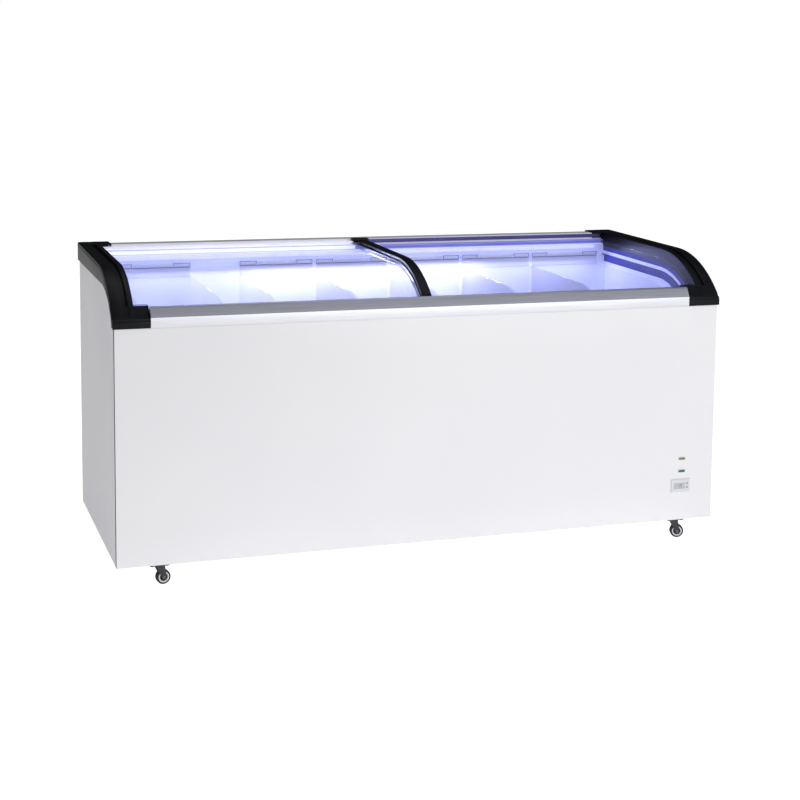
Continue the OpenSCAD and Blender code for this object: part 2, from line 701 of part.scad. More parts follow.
module refrigerant_pipes() {
    z0 = base_top + 110;
    x1 = comp_mid_x + comp_r;
    color("peru") union() {
        // suction line down from the evaporator, and into the shell
        rod_z(coil_r, z0, comp_top + 3.8, riser_x, riser_y);
        translate([riser_x, riser_y, z0]) sphere(r = coil_r, $fn = 24);
        rod_y(coil_r, comp_mid_y + 100, riser_y, riser_x, z0);
        translate([riser_x, comp_mid_y + 100, z0]) sphere(r = coil_r, $fn = 24);
        rod_x(coil_r, comp_mid_x, riser_x, comp_mid_y + 100, z0);
        translate([comp_mid_x, comp_mid_y + 100, z0]) sphere(r = coil_r, $fn = 24);
        rod_y(coil_r, comp_mid_y + comp_r + 0.5, comp_mid_y + 100, comp_mid_x, z0);
    }
    color("peru") union() {
        // liquid line from the condenser, through the drier
        rod_y(3, fan_y + 165, fan_y + 200, half_w - 42, fan_z);
        translate([half_w - 42, fan_y + 200, fan_z]) sphere(r = 3, $fn = 24);
        rod_x(3, x1 + 30, half_w - 42, fan_y + 200, fan_z);
        rod_x(9, x1 + 50, x1 + 70, fan_y + 200, fan_z);
    }
}
module vent_grille() {
    slot_w = 198;                            // two columns of sixteen slots
    slot_h = 7;
    row = 12.4;
    y0 = fan_y - grille_w / 2;
    z0 = fan_z - grille_h / 2;
    color("whitesmoke") difference() {
        box([half_w + fit, y0 - 14, z0 - 8], [half_w + 3.2, y0 + grille_w + 14, z0 + grille_h + 8]);
        for (i = [0:15], y = [y0 + 8, y0 + 16 + slot_w])
            box([half_w - 1, y, z0 + 8 + i * row], [half_w + 5, y + slot_w, z0 + 8 + slot_h + i * row]);
        for (y = [-1, 1], z = [-1, 1])
            rod_x(2.2, half_w - 1, half_w + 5, fan_y + y * screw_y, fan_z + z * screw_z);
    }
}
module grille_screws() {
    color("silver") for (y = [-1, 1], z = [-1, 1]) {
        yy = fan_y + y * screw_y;
        zz = fan_z + z * screw_z;
        rod_x(1.9, half_w - 8, half_w + 3.5, yy, zz);
        difference() {
            rod_x(3.8, half_w + 3.3, half_w + 4.8, yy, zz);
            box([half_w + 4.2, yy - 0.5, zz - 3], [half_w + 6, yy + 0.5, zz + 3]);
            box([half_w + 4.2, yy - 3, zz - 0.5], [half_w + 6, yy + 3, zz + 0.5]);
        }
    }
}
module cord_gland() {
    color("#202226") difference() {
        union() {
            rod_y(8, half_d - 12, half_d + 4, gland_x, gland_z);
            rod_y(12, half_d + fit, half_d + 4, gland_x, gland_z);
        }
        rod_y(gland_r, half_d - 13, half_d + 5, gland_x, gland_z);
    }
}
// A tube through the insulated floor, with a thinner hose end below the base pan
module drain_spigot() {
    color("white") difference() {
        union() {
            rod_z(drain_r, base_h - 0.5, liner_floor - liner_t - fit, drain_x, 0);
            rod_z(hose_r, base_h - 18, base_h, drain_x, 0);
        }
        rod_z(drain_bore, base_h - 19, liner_floor, drain_x, 0);
    }
}

// ---- casters ----
swivel_x = half_w - caster_in_x;
swivel_y = half_d - caster_in_y;
head_r = 3;                                  // heads of the screws that hold the plates
head_in = 6;
hub_r = wheel_r - 5;
cap_r = 5;                                   // hub boss, around the axle
fork_gap = wheel_w / 2 + 1.5;                // from the wheel's middle to a fork leg
leg_r = 6;                                   // round end of a leg, at the axle
fork_low = fork_top - fork_t;
module at_caster(sx, sy) {
    turn = sy > 0 ? back_turn : sx < 0 ? left_turn : right_turn;
    translate([sx * swivel_x, sy * swivel_y, 0]) rotate([0, 0, turn]) children();
}
module caster_plates() {
    x1 = plate_w / 2;
    y1 = plate_d / 2;
    low = base_h - plate_t;
    head_z = fork_low - 1.7;
    color("#202226") for (sx = [-1, 1], sy = [-1, 1]) translate([sx * swivel_x, sy * swivel_y, 0]) union() {
        box([-x1, -y1, low], [x1, y1, base_h - eps]);
        rod_z(kingpin_r, head_z, low + eps, 0, 0);
        rod_z(kingpin_r + 2.5, head_z, fork_low - slide_gap, 0, 0);
        for (x = [-1, 1], y = [-1, 1]) rod_z(head_r, low - 2, low, x * (x1 - head_in), y * (y1 - head_in));
    }
}
module caster_fork() {
    out = fork_gap + fork_t;
    color("#202226") difference() {
        union() {
            rod_z(17, fork_low, fork_top, 0, 0);
            box([-9, -out, fork_low], [caster_trail + 2, out, fork_top]);
            for (y = [fork_gap, -out]) {
                translate([0, y + fork_t, 0]) rotate([90, 0, 0]) linear_extrude(fork_t) polygon([[-9, fork_top],
                    [caster_trail + 2, fork_top], [caster_trail + leg_r, wheel_r],
                    [caster_trail - leg_r, wheel_r], [-9, fork_low - 4]]);
                rod_y(leg_r, y, y + fork_t, caster_trail, wheel_r);
            }
            rod_y(axle_r, -out - 2, out + 2, caster_trail, wheel_r);
        }
        rod_z(kingpin_r + run_gap, fork_low - 1, fork_top + 1, 0, 0);
    }
}
module wheel_hub() {
    color("silver") translate([caster_trail, 0, wheel_r]) rotate([-90, 0, 0]) difference() {
        union() {
            cylinder(r = hub_r, h = wheel_w - 6, center = true);
            cylinder(r = cap_r, h = wheel_w, center = true);
        }
        cylinder(r = axle_r + run_gap, h = wheel_w + 1, center = true);
    }
}
module wheel_tyre() {
    inside = hub_r + 0.1;
    edge = wheel_w / 2;
    color("#17181b") translate([caster_trail, 0, wheel_r]) rotate([-90, 0, 0]) rotate_extrude()
        polygon([[inside, -edge], [wheel_r - 2, -edge], [wheel_r, -edge + 3], [wheel_r, edge - 3],
            [wheel_r - 2, edge], [inside, edge]]);
}
module front_left_fork() { at_caster(-1, -1) caster_fork(); }
module front_right_fork() { at_caster(1, -1) caster_fork(); }
module back_left_fork() { at_caster(-1, 1) caster_fork(); }
module back_right_fork() { at_caster(1, 1) caster_fork(); }
module front_left_hub() { at_caster(-1, -1) wheel_hub(); }
module front_right_hub() { at_caster(1, -1) wheel_hub(); }
module back_left_hub() { at_caster(-1, 1) wheel_hub(); }
module back_right_hub() { at_caster(1, 1) wheel_hub(); }
module front_left_tyre() { at_caster(-1, -1) wheel_tyre(); }
module front_right_tyre() { at_caster(1, -1) wheel_tyre(); }
module back_left_tyre() { at_caster(-1, 1) wheel_tyre(); }
module back_right_tyre() { at_caster(1, 1) wheel_tyre(); }

front_panel();
left_side_panel();
right_side_panel();
back_panel();
base_pan();
foam_insulation();
inner_liner();
evaporator_coil();
left_end_frame();
right_end_frame();
left_inner_trim();
right_inner_trim();
front_rail();
rear_rail();
front_track();
led_strip();
amber_lamp();
green_lamp();
controller_bezel();
controller_display();
up_button();
down_button();
compressor();
condenser();
fan_motor();
fan_blades();
refrigerant_pipes();
vent_grille();
grille_screws();
cord_gland();
drain_spigot();
caster_plates();
left_lid_glass();
left_lid_bar();
left_lid_blocks();
left_lid_runners();
right_lid_glass();
right_lid_runners();
bin_1();
bin_2();
bin_3();
bin_4();
bin_5();
bin_6();
front_left_fork();
front_left_hub();
front_left_tyre();
front_right_fork();
front_right_hub();
front_right_tyre();
back_left_fork();
back_left_hub();
back_left_tyre();
back_right_fork();
back_right_hub();
back_right_tyre();
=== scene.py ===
# %% [markdown]
# A chest freezer for a shop floor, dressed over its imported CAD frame. The frame gives every place and size; the
# cells below only make what the eye sees: sheet steel, moulded ends, glass, clear bins, lamps and casters.

# %% Load the fixed frame
from math import cos, pi, radians, sin, tan

import bmesh
import bpy
from mathutils import Matrix, Vector


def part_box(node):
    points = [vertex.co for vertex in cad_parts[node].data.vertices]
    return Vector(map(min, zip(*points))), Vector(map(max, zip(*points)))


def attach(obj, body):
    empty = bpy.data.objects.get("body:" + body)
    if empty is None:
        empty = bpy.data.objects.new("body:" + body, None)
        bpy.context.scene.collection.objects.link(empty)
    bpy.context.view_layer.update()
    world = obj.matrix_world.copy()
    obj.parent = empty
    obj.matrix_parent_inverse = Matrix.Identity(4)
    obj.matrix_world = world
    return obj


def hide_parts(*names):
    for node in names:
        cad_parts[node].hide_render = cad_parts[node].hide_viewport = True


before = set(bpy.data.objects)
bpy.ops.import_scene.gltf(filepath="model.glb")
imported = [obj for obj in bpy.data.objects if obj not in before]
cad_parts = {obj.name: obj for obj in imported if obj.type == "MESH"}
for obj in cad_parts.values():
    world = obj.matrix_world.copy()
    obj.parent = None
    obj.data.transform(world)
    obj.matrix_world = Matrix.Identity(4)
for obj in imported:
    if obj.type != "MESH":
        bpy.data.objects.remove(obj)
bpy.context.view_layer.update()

# %% [markdown]
# Shop fittings are drawn in millimetres, so the shapes here are too, and each is scaled to metres once, when it
# becomes a piece. A node's box gives its place, in the same millimetres.

# %% Places in millimetres
def place(node):
    low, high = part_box(node)
    return low * 1000, high * 1000


frame_low, frame_high = place("right_end_frame")
FRONT_Y, BACK_Y = frame_low.y, frame_high.y      # nose of the frames, back of the frames
TOP_Z, FACE_X = frame_high.z, frame_high.x       # top edge at the back, outer side of the right frame
panel_low, panel_high = place("front_panel")
HALF_W, PANEL_Y = panel_high.x, panel_low.y      # painted sides and painted front
BASE_Z = panel_low.z
print("frames run from", FRONT_Y, "to", BACK_Y, "and up to", TOP_Z)

# %% [markdown]
# Everything along the top follows one curve: a gentle slope, a long bend and a small nose. A point on it needs
# only its angle and how far it lies inside the curve, so those two numbers place frames, glass, bar and trims.

# %% The top curve
SLOPE, BEND_END = 1.8, 48.0                      # degrees
BEND_R, NOSE_R = 330.0, 60.0
RISE = BEND_R - NOSE_R
NOSE = Vector((0, FRONT_Y + NOSE_R, 0))
BEND = Vector((0, NOSE.y + RISE * sin(radians(BEND_END)), 0))
line_y = BEND.y - BEND_R * sin(radians(SLOPE))
BEND.z = TOP_Z - (BACK_Y - line_y) * tan(radians(SLOPE)) - BEND_R * cos(radians(SLOPE))
NOSE.z = BEND.z + RISE * cos(radians(BEND_END))


def on_curve(x, drop, angle):
    centre, radius = (BEND, BEND_R) if angle <= BEND_END else (NOSE, NOSE_R)
    turn = radians(angle)
    return Vector((x, centre.y - (radius - drop) * sin(turn), centre.z + (radius - drop) * cos(turn)))


def line_height(drop, y):
    start = on_curve(0, drop, SLOPE)
    return start.z + (y - start.y) * tan(radians(SLOPE))


print("bend centre", BEND, "nose centre", NOSE)

# %% [markdown]
# A swept piece starts as one flat face across the curve, the section of the moulding. Its corners are rounded
# while it is still flat, which is cheaper than rounding the long edges later, and then it is pulled forward
# along the slope and spun round the bend and the nose.

# %% Sections swept along the top
def round_corners(shape, rounds):
    corners = list(shape.verts)
    for radius in sorted(set(rounds.values())):
        chosen = [corners[i] for i, r in rounds.items() if r == radius]
        bmesh.ops.bevel(shape, geom=chosen, offset=radius, segments=4, profile=0.5, affect="VERTICES", material=-1)
    shape.faces.ensure_lookup_table()
    return shape.faces[0]


def pull(shape, face, move):
    made = bmesh.ops.extrude_face_region(shape, geom=[face])["geom"]
    verts = [g for g in made if isinstance(g, bmesh.types.BMVert)]
    bmesh.ops.translate(shape, vec=Vector(move), verts=verts)
    return next(g for g in made if isinstance(g, bmesh.types.BMFace)), verts


def turn_about(shape, face, centre, angle, steps):
    geom = [face] + list(face.edges) + list(face.verts)
    made = bmesh.ops.spin(shape, geom=geom, cent=centre, axis=(1, 0, 0), angle=radians(angle), steps=steps)
    return next(g for g in made["geom_last"] if isinstance(g, bmesh.types.BMFace))


def sweep(section, back=None, start=SLOPE, end=90.0, rounds=None):
    shape = bmesh.new()
    if back is None:
        points = [on_curve(x, drop, start) for x, drop in section]
    else:
        points = [Vector((x, back, line_height(drop, back))) for x, drop in section]
    face = shape.faces.new([shape.verts.new(p) for p in points])
    if rounds:
        face = round_corners(shape, rounds)
    if back is not None:
        face, verts = pull(shape, face, (0, 0, 0))
        for vert in verts:
            drop = (line_height(0, back) - vert.co.z) * cos(radians(SLOPE))
            vert.co = on_curve(vert.co.x, drop, SLOPE)
    if start < BEND_END:
        face = turn_about(shape, face, BEND, min(end, BEND_END) - start, 16)
    if end > BEND_END:
        face = turn_about(shape, face, NOSE, end - max(start, BEND_END), 10)
    return shape


def trim_off(shape, point, normal):
    geom = list(shape.verts) + list(shape.edges) + list(shape.faces)
    cut = bmesh.ops.bisect_plane(shape, geom=geom, plane_co=point, plane_no=normal, clear_outer=True, dist=0.001)
    rim = [g for g in cut["geom_cut"] if isinstance(g, bmesh.types.BMEdge)]
    bmesh.ops.holes_fill(shape, edges=rim, sides=0)

# %% [markdown]
# Square mouldings, flanges and housings are cubes brought to size with every edge broken, because no sheet or
# moulding has a sharp edge and the thin highlight along the edge is what tells the eye so.

# %% Blocks with broken edges
def block(shape, low, high, edge=1.0, segments=2):
    low, high = Vector(low), Vector(high)
    made = bmesh.ops.create_cube(shape, size=1)["verts"]
    bmesh.ops.scale(shape, vec=high - low, verts=made)
    bmesh.ops.translate(shape, vec=(low + high) / 2, verts=made)
    if edge:
        edges = list({e for v in made for e in v.link_edges})
        bmesh.ops.bevel(shape, geom=edges, offset=edge, segments=segments, profile=0.5, affect="EDGES", material=-1)


def outline(shape, points):
    return shape.faces.new([shape.verts.new(p) for p in points])


def trace(shape, x, drop, back, end):
    first = shape.verts.new((x, back, line_height(drop, back)))
    last = shape.verts.new(on_curve(x, drop, SLOPE))
    shape.edges.new((first, last))
    for centre, angle, steps in ((BEND, min(end, BEND_END) - SLOPE, 16), (NOSE, end - BEND_END, 8)):
        if angle > 0:
            made = bmesh.ops.spin(shape, geom=[last], cent=centre, axis=(1, 0, 0), angle=radians(angle), steps=steps)
            last = next(g for g in made["geom_last"] if isinstance(g, bmesh.types.BMVert))
    return first, last


def close_outline(shape, first, last, points):
    for point in points:
        vert = shape.verts.new(point)
        shape.edges.new((last, vert))
        last = vert
    shape.edges.new((last, first))
    made = bmesh.ops.contextual_create(shape, geom=list(shape.edges))
    return made["faces"][0]

# %% [markdown]
# A shape becomes a piece in one place: doubles are merged, faces turned outwards, millimetres turned to metres,
# and smooth shading stops at real corners. The piece then rides on the CAD body that it belongs to.

# %% From a shape to a piece
def new_piece(name, shape, material, body="root", stands_for=(), smooth=35):
    bmesh.ops.remove_doubles(shape, verts=shape.verts, dist=0.01)
    bmesh.ops.recalc_face_normals(shape, faces=shape.faces)
    mesh = bpy.data.meshes.new(name)
    shape.to_mesh(mesh)
    shape.free()
    mesh.transform(Matrix.Scale(0.001, 4))
    mesh.shade_smooth()
    mesh.set_sharp_from_angle(angle=radians(smooth))
    mesh.materials.append(material)
    piece = bpy.data.objects.new(name, mesh)
    bpy.context.scene.collection.objects.link(piece)
    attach(piece, body)
    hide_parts(*stands_for)
    print(f"{name}: {len(mesh.polygons)} faces on {body}")
    return piece


def softened(node, edge=0.8, segments=2, sharp=28):
    shape = bmesh.new()
    shape.from_mesh(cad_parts[node].data)
    bmesh.ops.scale(shape, vec=(1000, 1000, 1000), verts=shape.verts)
    bmesh.ops.remove_doubles(shape, verts=shape.verts, dist=0.005)
    bmesh.ops.dissolve_limit(shape, angle_limit=radians(1), verts=shape.verts, edges=shape.edges)
    edges = [e for e in shape.edges if e.is_manifold and e.calc_face_angle(0) > radians(sharp)]
    if edge:
        bmesh.ops.bevel(shape, geom=edges, offset=edge, segments=segments, profile=0.5, affect="EDGES",
                        clamp_overlap=True, material=-1)
    return shape

# %% [markdown]
# Colours are written as the hex values a paint card has, and turned to the linear values that a shader counts in.
# One function adds any node, with its settings and its links, so that each finish below reads as a short recipe.

# %% Colours and nodes
def paint(code):
    channels = [int(code[i:i + 2], 16) / 255 for i in (1, 3, 5)]
    return [c / 12.92 if c <= 0.04045 else ((c + 0.055) / 1.055) ** 2.4 for c in channels] + [1.0]


def add(material, kind, inputs=None, **settings):
    tree = material.node_tree
    node = tree.nodes.new(kind)
    for name, value in settings.items():
        setattr(node, name, value)
    for name, value in (inputs or {}).items():
        if isinstance(value, bpy.types.NodeSocket):
            tree.links.new(value, node.inputs[name])
        else:
            node.inputs[name].default_value = value
    return node


def finish(name, colour, roughness, **sockets):
    material = bpy.data.materials.new(name)
    material.use_nodes = True
    material.node_tree.nodes.clear()
    values = {key.replace("_", " "): value for key, value in sockets.items()}
    shader = add(material, "ShaderNodeBsdfPrincipled", {"Base Color": paint(colour), "Roughness": roughness, **values})
    add(material, "ShaderNodeOutputMaterial", {"Surface": shader.outputs["BSDF"]})
    return material, shader


def noise(material, size, stretch=(1, 1, 1), detail=2.0):
    where = add(material, "ShaderNodeTexCoord").outputs["Object"]
    where = add(material, "ShaderNodeMapping", {"Vector": where, "Scale": stretch}).outputs["Vector"]
    made = add(material, "ShaderNodeTexNoise", {"Vector": where, "Scale": 1000 / size, "Detail": detail})
    return made.outputs["Fac"]


def blend_colours(material, factor, first, second, low=0.3, high=0.7):
    spread = add(material, "ShaderNodeMapRange", {"Value": factor, "From Min": low, "From Max": high})
    return add(material, "ShaderNodeMix", {0: spread.outputs["Result"], 6: paint(first), 7: paint(second)},
               data_type="RGBA").outputs[2]


def roughen(material, shader, factor, low, high):
    made = add(material, "ShaderNodeMapRange", {"Value": factor, "To Min": low, "To Max": high})
    material.node_tree.links.new(made.outputs["Result"], shader.inputs["Roughness"])


def raise_surface(material, shader, height, depth, strength=1.0):
    made = add(material, "ShaderNodeBump", {"Height": height, "Distance": depth / 1000, "Strength": strength})
    material.node_tree.links.new(made.outputs["Normal"], shader.inputs["Normal"])


def set_colour(material, shader, colour):
    material.node_tree.links.new(colour, shader.inputs["Base Color"])

# %% [markdown]
# The casing is sheet steel with baked powder coat. Powder melts into a skin with a faint orange peel, about
# 3 mm from crest to crest, so the highlight is broad and its edge is a little restless. The colour hardly moves:
# a very slow drift keeps a metre of white from looking like paper.

# %% Powder-coated steel
def powder_coat(name, light, dark, peel=3.0):
    material, shader = finish(name, light, 0.38, IOR=1.5, Coat_Weight=0.15, Coat_Roughness=0.12)
    set_colour(material, shader, blend_colours(material, noise(material, 700), light, dark))
    roughen(material, shader, noise(material, 60), 0.33, 0.43)
    raise_surface(material, shader, noise(material, peel), 0.02, 0.5)
    return material


white_coat = powder_coat("white powder-coated steel", "#F5F5F8", "#F0F0F4")
# The sides and the back get a slightly darker, bluer copy of the white: painted shade for faces turned away from the
# light.
side_coat_painted_shade = powder_coat("white powder-coated steel, painted side shade", "#ECECF2", "#E3E3EB")

# %% [markdown]
# The end frames, the lid bar and its blocks are moulded ABS, black through and through, from a mould with a fine
# spark-eroded grain. Grain this fine scatters the gloss into a soft grey line along each round edge.

# %% Black moulded ABS
# glow makes a moulding give off light in its own colour; none of the mouldings below that use it is a lamp, so their
# glow is painted lamp light.
def moulded(name, colour, second, roughness, grain=1.2, depth=0.02, shine=0.5, glow=0.0):
    material, shader = finish(name, colour, roughness, IOR=1.53, Specular_IOR_Level=shine,
                              Emission_Color=paint(colour), Emission_Strength=glow)
    set_colour(material, shader, blend_colours(material, noise(material, 90), colour, second))
    roughen(material, shader, noise(material, 35), roughness - 0.05, roughness + 0.06)
    raise_surface(material, shader, noise(material, grain), depth, 0.6)
    return material


black_abs = moulded("black moulded ABS", "#0A0B10", "#0E1016", 0.42, shine=0.15)
# The inner trim is dark plastic; its blue-violet colour and glow are a painted reflection of the lamp-lit tub.
trim_painted_reflection = moulded("dark inner trim, painted violet reflection", "#2E2E78", "#3C3C94", 0.5, grain=2.0, depth=0.01, shine=0.08,
                      glow=0.55)
# The violet strips on the rear channel are painted shade: the dark band of the empty upper groove and the shadow line
# under the upper lid's runner.
violet_lining = moulded("dark violet lining strip", "#4A4688", "#5C58A0", 0.4, shine=0.3)
white_pvc = moulded("white extruded PVC", "#F3F3F8", "#EAEAF4", 0.35)
grey_pvc = moulded("grey extruded PVC", "#5A5D68", "#6A6D7A", 0.4)
# This PVC is white; its lavender tint and glow are painted lamp light from the strip below.
pale_pvc_painted_glow = moulded("pale extruded PVC, painted lamp glow", "#E4E5F6", "#ECECF9", 0.35, glow=0.42)
# The violet colour and glow of this PVC are painted lamp light.
pvc_painted_violet_glow = moulded("extruded PVC, painted violet lamp light", "#8486D8", "#9496E0", 0.4, glow=0.3)
# The reflector glows by itself: painted lamp light on a part that is no lamp.
reflector_painted_glow = moulded("pale lamp reflector", "#D5DAFB", "#E4E7FF", 0.35, glow=0.85)
pale_abs = moulded("pale moulded ABS", "#E6E6EA", "#DEDEE3", 0.4)
black_nylon = moulded("black nylon", "#1A1B1E", "#232529", 0.45)
white_pp = moulded("white polypropylene", "#ECEDEF", "#E2E3E6", 0.45)
key_rubber = moulded("grey silicone rubber key", "#B7BAC2", "#A9ACB5", 0.55)
hub_plastic = moulded("pale nylon wheel hub", "#E9E9EE", "#DADAE1", 0.35)
# The web is the same pale nylon as the hub; its dark colour is painted shade in the recess.
hub_web_painted_shade = moulded("nylon wheel web, painted shade", "#141417", "#1B1C20", 0.45, shine=0.3)
print("moulded plastics made")

# %% [markdown]
# The front rail is extruded aluminium, brushed along its length and then anodised satin. The brush leaves lines
# less than a tenth of a millimetre apart, too fine to show here, so they are drawn about 1.5 mm apart and long
# along X. The sloped face gets a darker copy of the same finish: painted shade for a face turned away from the light.

# %% Satin anodised aluminium
def brushed(name, light, dark, roughness):
    material, shader = finish(name, light, roughness, Metallic=1.0)
    streaks = noise(material, 1.5, stretch=(0.01, 1, 1), detail=4)
    set_colour(material, shader, blend_colours(material, streaks, dark, light, 0.25, 0.75))
    roughen(material, shader, streaks, roughness - 0.06, roughness + 0.08)
    raise_surface(material, shader, streaks, 0.015, 0.4)
    return material


rail_bright = brushed("satin anodised aluminium", "#E6E6EB", "#D2D2DA", 0.42)
# The darker copy is painted shade for the rail's sloped face.
rail_painted_shade = brushed("satin anodised aluminium, painted shade", "#C2C4D0", "#A2A4B2", 0.38)

# %% [markdown]
# The liner is prepainted aluminium sheet, smooth and pale; its lavender tint and the faint glow of its own are
# painted lamp light, the light the lamp strip spreads round the tub. The lamp strip is a milky diffuser in front of
# cold white diodes: it is bright enough to read as a light, not so bright that it blows out to a flat shape.

# %% Liner and lamp strip
# The liner's lavender tint and its emission are painted lamp light.
liner_painted_lamp_glow, liner_glow_shader = finish("prepainted aluminium liner, painted lamp glow", "#DDE2FA", 0.4, IOR=1.5,
                                   Emission_Color=paint("#B4BCFF"), Emission_Strength=0.28)
set_colour(liner_painted_lamp_glow, liner_glow_shader, blend_colours(liner_painted_lamp_glow, noise(liner_painted_lamp_glow, 260), "#D5DAF7", "#E6EAFC"))
raise_surface(liner_painted_lamp_glow, liner_glow_shader, noise(liner_painted_lamp_glow, 14), 0.05, 0.35)

led_diffuser, led_shader = finish("milky lamp diffuser", "#F4F5FF", 0.4, Emission_Color=paint("#A9B0FF"),
                                  Emission_Strength=0.7)
set_colour(led_diffuser, led_shader,
           blend_colours(led_diffuser, noise(led_diffuser, 30, stretch=(1, 0.2, 0.2)), "#F7F8FF", "#E3E5FB"))

# %% [markdown]
# Lid glass is 5 mm tempered float glass. Looked through, it only adds a cool haze and takes the gloss of the
# room; looked at edge on, the iron in it shows as teal. The bins are clear polystyrene: weaker gloss and a faint
# violet cast. Their rims are painted a stronger violet and made less clear: painted lamp light, standing in for the
# light that the thicker edges catch.

# %% Glass and clear plastic
def see_through(name, colour, roughness, alpha, ior):
    material, shader = finish(name, colour, roughness, IOR=ior, Alpha=alpha)
    roughen(material, shader, noise(material, 120), roughness, roughness + 0.05)
    return material


lid_glass = see_through("tempered float glass", "#DDE6FF", 0.02, 0.06, 1.52)
glass_edge = see_through("ground glass edge", "#9FB9E0", 0.3, 0.6, 1.52)
bin_wall = see_through("clear polystyrene", "#EEF0FF", 0.08, 0.08, 1.59)
# The rims' stronger violet and lower clarity are painted lamp light caught in the thicker edges.
bin_rim_painted_light = see_through("clear polystyrene rim, painted lamp light", "#8F93E6", 0.15, 0.55, 1.59)
bin_label = see_through("clear polystyrene label rail", "#F4F5FF", 0.2, 0.6, 1.59)
print("see-through finishes made")

# %% [markdown]
# Hidden or half-hidden metal: galvanised sheet shows crystals some 12 mm across, copper has dull patches from the
# brazing flame, the compressor is black stove-enamelled steel, and fins are bare aluminium with fine ridges.

# %% Metals behind the panels
def spangled(name, light, dark, size, roughness, metallic=1.0):
    material, shader = finish(name, light, roughness, Metallic=metallic)
    where = add(material, "ShaderNodeTexCoord").outputs["Object"]
    cells = add(material, "ShaderNodeTexVoronoi", {"Vector": where, "Scale": 1000 / size})
    tone = add(material, "ShaderNodeRGBToBW", {"Color": cells.outputs["Color"]}).outputs["Val"]
    set_colour(material, shader, blend_colours(material, tone, light, dark, 0.2, 0.8))
    roughen(material, shader, tone, roughness - 0.08, roughness + 0.1)
    return material


galvanised = spangled("galvanised sheet steel", "#C9CCD0", "#A9ADB3", 12, 0.42)
copper = spangled("drawn copper tube", "#C87B52", "#A2593A", 40, 0.3)
fin_stock = spangled("aluminium fin stock", "#B9BCC2", "#96999F", 5, 0.4)
screw_steel = spangled("zinc-plated screw steel", "#C4C7CC", "#A4A7AE", 3, 0.28)
black_enamel = moulded("black stove enamel", "#15161A", "#202228", 0.28, grain=2.5)
black_steel = moulded("black electro-coated steel", "#1B1C20", "#292B30", 0.36, grain=1.5)

foam, foam_shader = finish("polyurethane foam", "#D8C27A", 0.9)
set_colour(foam, foam_shader, blend_colours(foam, noise(foam, 25, detail=5), "#DCC887", "#BFA458"))
raise_surface(foam, foam_shader, noise(foam, 4, detail=4), 0.6)

# %% [markdown]
# Wheel tyres are black rubber: almost matt, with a bloom of grey dust on the tread. Lamp lenses are tinted clear
# plastic over a faint light, and the display window is smoked.

# %% Rubber, lenses and display
rubber, rubber_shader = finish("black rubber tyre", "#1B1B1D", 0.72, IOR=1.5)
set_colour(rubber, rubber_shader, blend_colours(rubber, noise(rubber, 8, detail=4), "#161618", "#34353A", 0.35, 0.85))
raise_surface(rubber, rubber_shader, noise(rubber, 1.5), 0.05)


def lens(name, colour, second, glow):
    material, shader = finish(name, colour, 0.18, IOR=1.49, Emission_Color=paint(colour), Emission_Strength=glow)
    set_colour(material, shader, blend_colours(material, noise(material, 6), colour, second))
    return material


amber_lens = lens("amber lamp lens", "#A38A66", "#7C6850", 0.12)
green_lens = lens("green lamp lens", "#1E7A70", "#125F58", 0.12)
display_glass = moulded("smoked display window", "#C9CBD3", "#BDC0C9", 0.2, grain=6)
digit_ink = lens("display digits", "#5A5E6C", "#4A4E5C", 0.0)
print("all finishes made:", len(bpy.data.materials))

# %% [markdown]
# The front is one folded sheet: a big flat, short returns at its ends, and openings behind the lamps and the
# controller. Cutting the flat with planes and lifting out the middles leaves clean rectangular openings, which is
# how a punch press makes them too. The sheet gets its thickness last.

# %% Front panel
def punch(shape, axis, x0, x1, z0, z1):
    side = 0 if axis == 1 else 1
    for value, normal in ((x0, side), (x1, side), (z0, 2), (z1, 2)):
        direction, point = Vector((0, 0, 0)), Vector((0, 0, 0))
        direction[normal], point[normal] = 1, value
        geom = list(shape.verts) + list(shape.edges) + list(shape.faces)
        bmesh.ops.bisect_plane(shape, geom=geom, plane_co=point, plane_no=direction, dist=0.001)
    inside = [f for f in shape.faces if abs(f.normal[axis]) > 0.9 and x0 < f.calc_center_median()[side] < x1
              and z0 < f.calc_center_median().z < z1]
    bmesh.ops.delete(shape, geom=inside, context="FACES")


def thicken(shape, thickness):
    bmesh.ops.recalc_face_normals(shape, faces=shape.faces)
    bmesh.ops.solidify(shape, geom=list(shape.faces), thickness=thickness)


openings = [("controller_bezel", 3), ("green_lamp", 1.5), ("amber_lamp", 1.5)]
sheet = bmesh.new()
top = panel_high.z
face = outline(sheet, [(-HALF_W, PANEL_Y, BASE_Z), (HALF_W, PANEL_Y, BASE_Z), (HALF_W, PANEL_Y, top),
                       (-HALF_W, PANEL_Y, top)])
face, verts = pull(sheet, face, (0, 14, 0))
bmesh.ops.delete(sheet, geom=[face], context="FACES_ONLY")
corners = [e for e in sheet.edges if all(abs(v.co.y - PANEL_Y) < 0.01 for v in e.verts)]
bmesh.ops.bevel(sheet, geom=corners, offset=1.6, segments=3, profile=0.5, affect="EDGES", material=-1)
for node, inset in openings:
    low, high = place(node)
    punch(sheet, 1, low.x + inset, high.x - inset, low.z + inset, high.z - inset)
thicken(sheet, 1.0)
new_piece("front_sheet", sheet, white_coat, stands_for=["front_panel"])

# %% [markdown]
# Each side panel is cut to the top curve, so its outline is drawn with the same curve as the frames and filled.
# The right one has the opening for the grille.

# %% Side panels and back panel
def side_sheet(side):
    shape = bmesh.new()
    x, bottom = side * HALF_W, BASE_Z
    first, last = trace(shape, x, 15.0, -PANEL_Y - 1, 60)
    points = [(x, PANEL_Y + 1, last.co.z), (x, PANEL_Y + 1, bottom), (x, -PANEL_Y - 1, bottom)]
    face = close_outline(shape, first, last, points)
    face, verts = pull(shape, face, (-side, 0, 0))
    return shape


